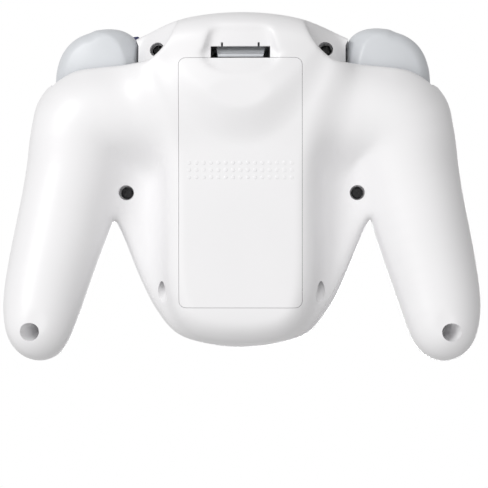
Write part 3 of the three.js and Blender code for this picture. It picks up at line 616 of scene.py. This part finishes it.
# ---------------------------------------------------------------- shells and cover
COVER = {"half": 17.9, "top": 36.8, "bottom": -35.5, "corner": 2.0, "inside": 5.8}
LATCH = {"half": 8.6, "top": 40.2, "slit": 5.3}
BAY = {"inner": 30.6, "outer": 56.2, "end": 19.4, "back": 14.7, "front": 26.6}
SCREWS = {      # x, y, radius of the well, height of the seat under the head, height of the tip
    "top": (24.7, 40.0, 2.2, 18.4, 30.5),
    "middle": (34, -1.9, 2.2, 18.3, 29),
}
ANGLED_SCREWS = {      # point near the mouth, way in for the right one, radius and depth of the well, length
    "side": ((23.2, -31.4, 12.4), (-0.45, 0.85, 0.3), 2.1, 4.4, 5),
    "grip": ((60.2, -42.2, 1.5), (-0.5, 0.14, 0.855), 2.65, 8.2, 18.5),
}
SHOULDER = {"x0": 31.4, "x1": 50.6, "z0": 28.7, "z1": 32.4, "back": 31.5}
STICK = {"pivot": 28.5, "dome": 11.5, "hole": 10.0}
SPAN = 90         # more than the size of the controller
WALL = 2.0
GAP = 0.3         # round a piece that moves or is put in
SEAM = 0.05       # half of the gap that is drawn between the cover and the shell


def parting_block(offset, above):
    """All that lies above or below the parting plane moved up by an offset."""
    low, high = (offset, SPAN) if above else (-SPAN, offset)
    base, lean = PARTING
    outline = [(y, base + lean * y + z) for y, z in ((-SPAN, low), (SPAN, low), (SPAN, high), (-SPAN, high))]
    return side_prism("parting", outline, -SPAN, SPAN)


def cover_outline(grow):
    half, top, bottom = COVER["half"] + grow, COVER["top"] + grow, COVER["bottom"] - grow
    corners = [(half, bottom), (half, top), (-half, top), (-half, bottom)]
    return rounded(corners, COVER["corner"] + grow, steps=8)


def screw_frame(row, side):
    """Where the axis of an angled screw meets the surface, and the way in."""
    point, into = ANGLED_SCREWS[row][:2]
    into = np.array((side * into[0], into[1], into[2])) / np.linalg.norm(into)
    steps = np.array((side * point[0], point[1], point[2])) + into * np.arange(-8, 4, 0.05)[:, None]
    first = np.argmax(BODY.at(BODY.value, steps) < 0)
    return steps[first], into


def along(piece, start, into):
    """Stands a piece that was made on the Z axis at a point, with its Z along a direction."""
    turn = Vector((0, 0, 1)).rotation_difference(Vector(into)).to_matrix().to_4x4()
    piece.data.transform(Matrix.Translation(Vector(start) * MM) @ turn)
    return piece


BODY = Grid(body_field, (-73, -55, -2), (73, 55, 43), 0.8)


def trigger_bay(side):
    """Opening for a trigger. Its corners follow the round of the trigger and that of the wing."""
    inner, outer, end, back, front = BAY.values()
    round_corner = [(inner, 41.6), (32, 44.9), (35, 47), (38.6, 47.6)]
    open_end = [(38.6, 60), (60.8, 60), (60.8, 25.6), (58, 29.2), (outer, 29.9)]
    outline = [(inner, end), *round_corner, *open_end, (outer, end)]
    return prism("bay", [(side * x, y) for x, y in outline], back, front)


def make_skin():
    """The walls of both shells with the posts for the screws."""
    hollow = add_object("hollow", mesh_of("hollow", *BODY.surface(-WALL)))
    posts = []
    for _, side in SIDES:
        posts += [rod(well + 1.3, -3, 60, side * x, y, 24) for x, y, well, _, _ in SCREWS.values()]
        for row, (_, _, well, _, length) in ANGLED_SCREWS.items():
            posts.append(along(rod(well + 0.7, -4, length, sides=24), *screw_frame(row, side)))
    cut(hollow, gather(posts))
    skin = add_object("skin", mesh_of("skin", *BODY.surface()))
    cut(skin, hollow)
    return skin


def make_back_shell(skin):
    shell = duplicate(skin)
    keep(shell, parting_block(-0.1, above=False))
    wells = []
    wing = prism("wing", [tuple(p) for p in spline(WING_EDGE, 8, True)], -3, 11)
    for _, side in SIDES:
        for row, (x, y, well, seat, _) in SCREWS.items():
            hole = rod(well, -3, seat, side * x, y)
            if row == "top":
                edge = duplicate(wing)
                edge.data.transform(Matrix.Diagonal((side, 1, 1, 1)))
                if side < 0:
                    edge.data.flip_normals()
                keep(hole, edge)
                join(hole, rod(well, 10.5, seat, side * x, y))
            wells.append(hole)
        for row, (_, _, well, depth, _) in ANGLED_SCREWS.items():
            wells.append(along(rod(well, -6, depth), *screw_frame(row, side)))
    bpy.data.objects.remove(wing)
    cut(shell, gather(wells))
    cut(shell, gather([trigger_bay(side) for _, side in SIDES]))
    cut(shell, prism("opening", cover_outline(SEAM), -3, 12))
    cut(shell, box(-LATCH["half"], LATCH["half"], 38.1, LATCH["top"], -3, 14))
    cut(shell, box(-LATCH["half"], LATCH["half"], 35, 38.2, -3, 5.4))
    cut(shell, box(-7.1, 7.1, 35, 38.2, 5.2, 14))
    slit = LATCH["slit"]
    cut(shell, gather([side_box(side, slit - 0.3, slit + 0.3, 39, 41.3, -3, 8) for _, side in SIDES]))
    shade(shell, BODY)
    finish_piece(shell, "back_shell_moulding", "housing", "shell_white", "back_shell")


GRIP_DOT = [(0, -0.16), (0.28, -0.14), (0.48, -0.08), (0.6, 0), (0.62, 0.6), (0, 0.6)]      # radius, height


def make_cover(skin):
    cover = duplicate(skin)
    keep(cover, prism("plan", cover_outline(-SEAM), -3, COVER["inside"]))
    cut(cover, box(-LATCH["half"], LATCH["half"], COVER["top"] - 0.7, COVER["top"] + 1, 4.5, 12))
    dots = []
    for row in range(3):
        for k in range(15):
            x, y = 2.12 * (k - 7), 2.3 + 2.1 * row
            back = float(hump_back(np.float64(x), np.float64(y)))
            dots.append(turned("dot", [(r, back + z) for r, z in GRIP_DOT], x, y, 12))
    join(cover, gather(dots))
    hook = [(-33.9, 4.8), (-33.9, 8), (-37.9, 8), (-37.9, 7), (-35.1, 7), (-35.1, 4.8)]
    join(cover, gather([side_prism("hook", hook, x - 2, x + 2) for x in (-11, 11)]))
    shade(cover, BODY)
    finish_piece(cover, "battery_cover_moulding", "cover", "shell_white", "battery_cover")


# ---------------------------------------------------------------- outlines on the control face
BUTTONS = {      # centre and radius, or the arc of a kidney; the top; the material
    "large_round_button": ((41.5, 13.5, 6.5), 42.6, "teal_plastic"),
    "small_round_button": ((32.6, 5.7, 3.8), 41.4, "red_plastic"),
    "kidney_button_side": ((-30, 30), 41.4, "grey_plastic"),
    "kidney_button_upper": ((72, 130), 41.4, "grey_plastic"),
    "start_button": ((0, 14, 3.4), 38.4, "grey_plastic"),
    "home_button": ((0, 0, 2.8), 37.9, "dark_plastic"),
}
KIDNEY_RING = 11.7      # radius of the middle line of the kidneys round the large button
KIDNEY_HALF = 2.7


def arc(x, y, radius, start, end, steps):
    angles = np.radians(np.linspace(start, end, steps))
    return [(x + radius * math.cos(a), y + radius * math.sin(a)) for a in angles]


def circle(x, y, radius, sides=64):
    return arc(x, y, radius, 0, 360, sides + 1)[:-1]


def button_outline(place, grow):
    if len(place) == 3:
        return circle(place[0], place[1], place[2] + grow)
    x, y = ACTIONS[:2]
    start, end = place
    cap = KIDNEY_HALF + grow
    ends = arc(x, y, KIDNEY_RING, start, end, 2)
    outline = arc(x, y, KIDNEY_RING + cap, start, end, 24)
    outline += arc(*ends[1], cap, end, end + 180, 14)[1:-1]
    outline += arc(x, y, KIDNEY_RING - cap, end, start, 24)
    return outline + arc(*ends[0], cap, start - 180, start, 14)[1:-1]


def cross(x, y, reach, half, corner):
    quarter = [(half, -reach), (half, -half), (reach, -half)]
    points = []
    for turn in range(4):
        c, s = ((1, 0), (0, 1), (-1, 0), (0, -1))[turn]
        points += [(x + c * a - s * b, y + s * a + c * b) for a, b in quarter]
    return rounded(points, [corner, corner / 2, corner] * 4, steps=4)


def light_outline(grow):
    return arc(4, 26, 1.1 + grow, -90, 90, 12) + arc(-4, 26, 1.1 + grow, 90, 270, 12)


def make_front_shell(skin):
    shell = duplicate(skin)
    keep(shell, parting_block(0.1, above=True))
    bays = [trigger_bay(side) for _, side in SIDES]
    x0, x1, z0, z1, _ = SHOULDER.values()
    shoulder = box(x0 - GAP, x1 + GAP, 30, 60, z0 - GAP, z1 + GAP)
    cut(shell, gather([*bays, shoulder]))
    hole = STICK["hole"]
    profile = [(0, 30), (hole, 30), (hole, 38.4), (hole + 0.9, 39.3), (hole + 1.6, 45), (0, 45)]
    cutters = []
    for x, y, _, top in (MAIN_STICK, SMALL_STICK):
        cutters.append(turned("hole", [(r, z + top - MAIN_STICK[3]) for r, z in profile], x, y, 96))
    cutters.append(prism("hole", cross(D_PAD[0], D_PAD[1], 10.5, 3.8, 0.9), 31, 45))
    cutters += [prism("hole", button_outline(place, GAP), 31, 47) for place, _, _ in BUTTONS.values()]
    cutters.append(prism("hole", light_outline(0.15), 31, 45))
    cut(shell, gather(cutters))
    shade(shell, BODY)
    finish_piece(shell, "front_shell_moulding", "housing", "shell_white", "front_shell")


SKIN = make_skin()
make_back_shell(SKIN)
make_cover(SKIN)
make_front_shell(SKIN)
bpy.data.objects.remove(SKIN)


# ---------------------------------------------------------------- screws
def screw_head(low, high):
    """A pan head with a cross recess, on the Z axis, its driven side at the low end."""
    radius = 1.75
    profile = [(0, low), (radius * 0.72, low + 0.06), (radius * 0.93, low + 0.3), (radius, low + 0.7)]
    head = turned("head", [*profile, (radius, high), (0, high)], sides=40)
    slots = [box(-w, w, -h, h, low - 0.5, low + 0.75) for w, h in ((0.95, 0.27), (0.27, 0.95))]
    cut(head, *slots)
    return head


def finish_screw(screw, node):
    shade(screw)
    finish_piece(screw, f"{node}_black", "housing", "screw_black", node)


def make_screws():
    for word, side in SIDES:
        for row, (x, y, _, seat, tip) in SCREWS.items():
            screw = screw_head(seat - 1.6, seat - GAP)
            join(screw, rod(1.0, seat - 0.5, tip, sides=20))
            screw.data.transform(Matrix.Rotation(0.5 * side + y, 4, "Z"))
            screw.data.transform(Matrix.Translation(Vector((side * x, y, 0)) * MM))
            finish_screw(screw, f"screw_{row}_{word}")
        for row, (_, _, _, depth, length) in ANGLED_SCREWS.items():
            screw = screw_head(depth - 1.4, depth - GAP)
            join(screw, rod(0.8, depth - 0.5, length - 0.5, sides=20))
            along(screw, *screw_frame(row, side))
            finish_screw(screw, f"screw_{row}_{word}")


make_screws()


# ---------------------------------------------------------------- triggers, shoulder button and latch
PADDLE = [
    (55.9, 20), (55.9, 26), (55.9, 31), (55.4, 35.4), (53.7, 39.9), (50.8, 43.3), (46.6, 45.5), (42, 45.6),
    (38.2, 43.6), (35.7, 40), (34.6, 35), (34.3, 26), (34.2, 20),
]
BAND = [
    (48, 20), (48, 34), (46.8, 42), (44.4, 46), (41.8, 46.9), (38.6, 47), (35.2, 46.3), (32.3, 44.4),
    (31, 41.3), (30.9, 36.9), (30.9, 30), (30.9, 20),
]
TRIGGER_BACK = 15.1
TRIGGER_FRONT = 25.6


def trigger_field(x, y, z):
    """One body with a broad convex back and, past a soft ridge, a band that falls away on the inner side."""
    paddle = loop_distance(spline(PADDLE, 8, True), x, y)
    band = loop_distance(spline(BAND, 8, True), x, y)
    away = smooth_max(paddle - 0.3, 0 * x, 0.6)
    back = TRIGGER_BACK + 0.012 * (x - 42) ** 2 + 0.1 * np.maximum(x - 36, 0)
    back = back + 0.008 * square_above(y - 33) + 0.7 * away
    outline = smooth_min(paddle, band, 1.6)
    rounding = 1.3 + 2.3 * smooth_step(32, 46, x)
    return np.maximum(0.9 * plate(outline, z, back, TRIGGER_FRONT, rounding), 27 - y)


def make_triggers():
    grid = Grid(trigger_field, (29, 24, 13), (58, 49.4, 28), 0.4)
    points, faces = grid.surface()
    for word, side in SIDES:
        mesh = mesh_of("trigger", points * (side, 1, 1), faces[:, ::side])
        trigger = add_object("trigger", mesh)
        room_for_board = side_box(side, 29, 58, 26, 33.2, 23.2, 27)
        cut(trigger, room_for_board)
        shade(trigger, angle=40)
        node = f"trigger_{word}"
        finish_piece(trigger, f"{node}_moulding", node, "grey_plastic", node)


make_triggers()


def make_shoulder_button():
    x0, x1, z0, z1, back = SHOULDER.values()
    outline = [(x0, back), (x1, back), (x1, 37), (47, 39.6), (36, 45.1), (x0, 45.7)]
    button = prism("button", rounded(outline, [0, 0, 1.5, 8, 8, 0.5], steps=5), z0, z1)
    soften(button, 0.5)
    finish_piece(button, "shoulder_button_cap", "shoulder_button", "navy_plastic", "shoulder_button")


make_shoulder_button()


def make_latch():
    """The tongue: a rounded face that a fingertip pushes, with two legs behind it."""
    strip = [
        (37.15, 4.95), (38.15, 5.2), (38.45, 5.9), (39.3, 6.4), (40.3, 7.6), (40.9, 8.1), (40.9, 9.1),
        (40.0, 9.1), (40.0, 12.1), (39.1, 12.1), (39.0, 8.3), (38.2, 7.3), (37.9, 8.2), (37.9, 12.1),
        (37.2, 12.1),
    ]
    tongue = side_prism("tongue", rounded(strip, 0.3, steps=3), -7.6, 7.6)
    for side in (-1, 1):
        trim = [(side * 6.5, 37), (side * 7.5, 42), (side * 9, 42), (side * 9, 37)]
        cut(tongue, prism("trim", trim[::side], 3, 14))
    soften(tongue, 0.12, 2, 50)
    finish_piece(tongue, "cover_latch_tongue", "latch", "grey_plastic", "cover_latch")


make_latch()


# ---------------------------------------------------------------- control face
def make_buttons():
    for node, (place, top, slot) in BUTTONS.items():
        face = 38.6 if top > 40 else FACE_Z
        flange = face - 4.4
        cap = prism("cap", button_outline(place, 0), flange - 0.4, top)
        soften(cap, 1.1, 5)
        join(cap, prism("rim", button_outline(place, 0.5), flange - 1.2, flange))
        middle = place[:2] if len(place) == 3 else arc(*ACTIONS[:2], KIDNEY_RING, *place, 3)[1]
        join(cap, rod(2.2, 29.0, flange - 1, *middle, 32))
        shade(cap, angle=30)
        finish_piece(cap, f"{node}_cap", node, slot, node)


make_buttons()


def make_direction_pad():
    x, y = D_PAD[:2]
    pad = prism("pad", cross(x, y, 9.9, 3.2, 0.8), 33.6, 40.6)
    soften(pad, 0.7, 4)
    dish = turned("dish", [(0, 39.9), (1.6, 40.05), (2.6, 40.7), (2.8, 41.5), (0, 41.5)], x, y, 48)
    cut(pad, dish)
    for k in range(4):
        a = math.pi / 2 * k
        mark = prism("mark", [(8.1, 0), (5.9, 1.5), (5.9, -1.5)], 40.25, 42)
        mark.data.transform(Matrix.Translation(Vector((x, y, 0)) * MM) @ Matrix.Rotation(a, 4, "Z"))
        cut(pad, mark)
    join(pad, rod(10.6, 33.5, 34.3, x, y, 64), rod(1.5, 32.5, 34, x, y, 24))
    shade(pad, angle=30)
    finish_piece(pad, "d_pad_cap", "d_pad", "grey_plastic", "d_pad")


make_direction_pad()


def dome_arc(radius, start, end, steps):
    return [(radius * math.sin(a), radius * math.cos(a)) for a in np.radians(np.linspace(start, end, steps))]


def make_stick(node, place, radius, height, slot):
    """Thumb cap, shaft and dome in one profile. Heights are above the pivot."""
    dome = STICK["dome"]
    inner = dome - 1.2
    neck = 0.36 * dome
    profile = [
        (0, -0.9), (1.6, -0.9), (1.6, inner * 0.985),
        *dome_arc(inner, 14, 76, 16), *dome_arc(dome, 76, 24, 18),
        (neck + 0.15, dome - 0.3), (neck - 0.1, dome + 0.6), (neck * 0.9, dome + 3),
        (neck * 0.86, height - 7.4), (neck * 0.95, height - 5.6), (neck * 1.35, height - 4.3),
    ]
    rim = [
        (1.6, 3.2), (0.5, 2.7), (0.1, 2.1), (0, 1.5), (0.15, 0.8), (0.6, 0.25), (1.2, 0), (1.7, 0.1),
        (2.1, 0.5), (2.3, 0.75),
    ]
    profile += [(radius - inward, height - down) for inward, down in rim]
    profile += [(radius * 0.6, height - 0.9), (radius * 0.3, height - 1.05), (0, height - 1.1)]
    pivot = STICK["pivot"]
    stick = turned("stick", [(r, pivot + h) for r, h in profile], *place[:2], 96)
    rings = (0.34, 0.56) if radius > 8 else (0.5,)
    for ring in rings:
        middle = radius * ring
        z = pivot + height - 1.0
        tool = [(-0.4, 2), (-0.4, 0.1), (0, -0.45), (0.4, 0.1), (0.4, 2)]
        cut(stick, ring_of("groove", [(middle + r, z + h) for r, h in tool], *place[:2], 96))
    pin = rod(0.6, -3.6, 3.6, sides=24)
    along(pin, (place[0], place[1], pivot), (0, 1, 0))
    join(stick, pin)
    shade(stick, angle=28)
    finish_piece(stick, f"{node}_cap", node, slot, node)


make_stick("main_stick", MAIN_STICK, 9, 27, "stick_grey")
make_stick("small_stick", SMALL_STICK, 6.4, 22.5, "amber_plastic")

light_pill = prism("pill", light_outline(0), 28.1, FACE_Z + 0.1)
soften(light_pill, 0.25)
finish_piece(light_pill, "status_light_pipe", "housing", "clear_lens", "status_light")


# ---------------------------------------------------------------- battery bay
CELL = {"radius": 7.1, "length": 49.5, "x": 7.5, "y": -3.0, "z": 13.5, "offset": 0.75}
TRAY = {"x": 15.3, "front": 21.1, "back": 6.4, "top": 25.2, "bottom": -31.2, "wall": 1.4}


def make_cells():
    """Each cell is a coloured sleeve between bare metal ends, with a raised plus pole."""
    half, r = CELL["length"] / 2, CELL["radius"]
    for (word, side), way in zip(SIDES, (1, -1)):
        start = (side * CELL["x"], CELL["y"] + way * CELL["offset"], CELL["z"])
        sleeve = [
            (0, 0.35 - half), (r - 0.9, 0.3 - half), (r - 0.25, 0.25 - half), (r, 0.8 - half),
            (r, half - 0.9), (r - 0.3, half - 0.35), (r - 1.0, half - 0.15), (0, half - 0.2),
        ]
        metal = [(0, -half), (r - 1.2, -half), (r - 1.2, 0.5 - half), (0, 0.5 - half)]
        pole = [(0, -0.4), (4.4, -0.4), (4.4, 0), (2.7, 0.1), (2.6, 0.8), (2.3, 1), (0, 1)]
        body = along(turned("sleeve", sleeve, sides=64), start, (0, way, 0))
        shade(body)
        finish_piece(body, f"battery_cell_{word}_sleeve", "housing", "cell_sleeve", f"battery_cell_{word}")
        outlines = metal, [(a, half + b) for a, b in pole]
        ends = gather([turned("end", outline, sides=48) for outline in outlines])
        along(ends, start, (0, way, 0))
        shade(ends)
        finish_piece(ends, f"battery_cell_{word}_ends", "housing", "steel")
        coil = contact_coil(start, way)
        finish_piece(coil, f"contact_spring_{word}_coil", "housing", "steel", f"contact_spring_{word}")


def contact_coil(start, way):
    steps = 120
    turns = np.linspace(0, 4 * np.pi, steps)
    radius = np.linspace(2, 4, steps)
    low = start[1] - way * (CELL["length"] / 2 + 0.3)
    along_y = low - way * (0.35 + np.linspace(0, 1.1, steps))
    path = np.stack([start[0] + radius * np.cos(turns), along_y, start[2] + radius * np.sin(turns)], axis=1)
    return tube("coil", path, 0.27)


def tube(name, path, radius, sides=10):
    """A round wire along a path."""
    ahead = np.gradient(path, axis=0)
    ahead /= np.linalg.norm(ahead, axis=1, keepdims=True)
    across = np.cross(ahead, (0.0, 1.0, 0.0))
    across /= np.linalg.norm(across, axis=1, keepdims=True)
    third = np.cross(ahead, across)
    angles = 2 * np.pi * np.arange(sides) / sides
    cosines, sines = np.cos(angles)[None, :, None], np.sin(angles)[None, :, None]
    rings = path[:, None] + radius * (cosines * across[:, None] + sines * third[:, None])
    points = [tuple(p) for p in rings.reshape(-1, 3)]
    n = len(path)
    faces = [tuple(range(sides)), tuple(range((n - 1) * sides, n * sides))[::-1]]
    for k in range(0, (n - 1) * sides, sides):
        for i in range(sides):
            following = (i + 1) % sides
            faces.append((k + following, k + i, k + sides + i, k + sides + following))
    mesh = bpy.data.meshes.new(name)
    mesh.from_pydata([Vector(p) * MM for p in points], [], faces)
    piece = add_object(name, mesh)
    fix_normals(piece)
    shade(piece, angle=60)
    return piece


def make_tray():
    x, front, back, top, bottom, wall = TRAY.values()
    tray = box(-x - wall, x + wall, bottom - wall, top + wall, back, front + wall)
    cut(tray, box(-x, x, bottom, top, back - 1, front))
    for _, side in SIDES:
        cut(tray, side_box(side, 8.4, 13.6, bottom - wall - 1, bottom + 1, back - 1, 8.3))
    ribs = []
    for y in (-22, -9, 4, 17):
        for a, b in ((-x - 0.2, -13.4), (-1.1, 1.1), (13.4, x + 0.2)):
            ribs.append(box(a, b, y - 0.6, y + 0.6, 17.6, front + 0.2))
    join(tray, gather(ribs))
    soften(tray, 0.25, 2)
    finish_piece(tray, "battery_tray_moulding", "housing", "shell_white", "battery_tray")


def make_contacts():
    low, high = CELL["z"] - 4.5, CELL["z"] + 4.5
    bridge = box(-12.5, 12.5, TRAY["top"] - 0.7, TRAY["top"] - 0.3, low, high)
    soften(bridge, 0.12, 2)
    finish_piece(bridge, "contact_bridge_strip", "housing", "steel", "contact_bridge")
    for word, side in SIDES:
        y = TRAY["bottom"] + 0.3
        plate_piece = side_box(side, 3, 12.5, y, y + 0.4, low, high)
        soften(plate_piece, 0.12, 2)
        finish_piece(plate_piece, f"contact_plate_{word}_strip", "housing", "steel", f"contact_plate_{word}")


make_cells()
make_tray()
make_contacts()


# ---------------------------------------------------------------- carried-over nodes
for node in frame["nodes"]:
    piece = bpy.data.objects.get(node)
    if piece is not None:
        piece.data.materials.clear()
        piece.data.materials.append(MATERIALS[SLOTS[node]])


# ---------------------------------------------------------------- studio
WORLD_HORIZON = 0.28     # strength of the world's light from the side
WORLD_POLE = 0.86        # what is added straight below
WORLD_ABOVE = 0.75       # how much of that comes from above
WORLD_FOCUS = 1.5        # how closely it keeps to the two poles
WORLD_SIDE = 0.11        # what is added on the +X side and missing on the other


def light(name, place, size, power):
    """A round lamp that faces the controller. Places and sizes are in metres."""
    data = bpy.data.lights.new(name, "AREA")
    data.shape = "DISK"
    data.size = size
    data.energy = power
    lamp = bpy.data.objects.new(name, data)
    bpy.context.collection.objects.link(lamp)
    lamp.location = place
    lamp.rotation_mode = "QUATERNION"
    lamp.rotation_quaternion = (Vector(place) - Vector((0, 0, 0.02))).to_track_quat("Z", "Y")


def make_world():
    """White to look at. As a light it is strongest from below and above, and stronger from the +X side."""
    world = bpy.data.worlds.new("studio")
    bpy.context.scene.world = world
    world.use_nodes = True
    tree = world.node_tree
    tree.nodes.clear()

    def math_node(operation, *values):
        node = tree.nodes.new("ShaderNodeMath")
        node.operation = operation
        for socket, value in zip(node.inputs, values):
            if isinstance(value, bpy.types.NodeSocket):
                tree.links.new(value, socket)
            else:
                socket.default_value = value
        return node.outputs[0]

    direction = tree.nodes.new("ShaderNodeSeparateXYZ")
    tree.links.new(tree.nodes.new("ShaderNodeTexCoord").outputs["Generated"], direction.inputs[0])
    lean = math_node("MULTIPLY", direction.outputs["Z"], -1.0)
    lean = math_node("MAXIMUM", lean, math_node("MULTIPLY", direction.outputs["Z"], WORLD_ABOVE))
    upright = math_node("POWER", lean, WORLD_FOCUS)
    sideways = math_node("MULTIPLY", direction.outputs["X"], WORLD_SIDE)
    strength = math_node("ADD", math_node("MULTIPLY_ADD", upright, WORLD_POLE, WORLD_HORIZON), sideways)
    seen = tree.nodes.new("ShaderNodeBackground")
    seen.inputs["Color"].default_value = (1, 1, 1, 1)
    fill = tree.nodes.new("ShaderNodeBackground")
    fill.inputs["Color"].default_value = (1, 0.995, 0.99, 1)
    tree.links.new(strength, fill.inputs["Strength"])
    path = tree.nodes.new("ShaderNodeLightPath")
    mix = tree.nodes.new("ShaderNodeMixShader")
    out = tree.nodes.new("ShaderNodeOutputWorld")
    tree.links.new(path.outputs["Is Camera Ray"], mix.inputs[0])
    tree.links.new(fill.outputs[0], mix.inputs[1])
    tree.links.new(seen.outputs[0], mix.inputs[2])
    tree.links.new(mix.outputs[0], out.inputs["Surface"])


def make_floor():
    """A pale table top just under the resting plane, seen from above only. It throws back no light."""
    corners = [(-2000, -2000, -0.2), (2000, -2000, -0.2), (2000, 2000, -0.2), (-2000, 2000, -0.2)]
    floor = add_object("table_top", mesh_of("table_top", corners, [(0, 1, 2, 3)]))
    material = bpy.data.materials.new("table_top")
    material.use_nodes = True
    tree = material.node_tree
    tree.nodes.clear()
    paint = tree.nodes.new("ShaderNodeBsdfDiffuse")
    paint.inputs["Color"].default_value = (0.86, 0.87, 0.88, 1)
    clear = tree.nodes.new("ShaderNodeBsdfTransparent")
    side = tree.nodes.new("ShaderNodeNewGeometry")
    path = tree.nodes.new("ShaderNodeLightPath")
    seen = tree.nodes.new("ShaderNodeMath")
    seen.operation = "SUBTRACT"
    seen.use_clamp = True
    mix = tree.nodes.new("ShaderNodeMixShader")
    out = tree.nodes.new("ShaderNodeOutputMaterial")
    tree.links.new(path.outputs["Is Camera Ray"], seen.inputs[0])
    tree.links.new(side.outputs["Backfacing"], seen.inputs[1])
    tree.links.new(seen.outputs[0], mix.inputs[0])
    tree.links.new(clear.outputs[0], mix.inputs[1])
    tree.links.new(paint.outputs[0], mix.inputs[2])
    tree.links.new(mix.outputs[0], out.inputs["Surface"])
    floor.data.materials.append(material)


light("key_below", (0.62, 0.42, -0.62), 0.5, 3.4)
light("key_above", (-0.1, -0.1, 0.9), 0.4, 2.6)
make_world()
make_floor()
bpy.context.scene.view_settings.view_transform = "Standard"
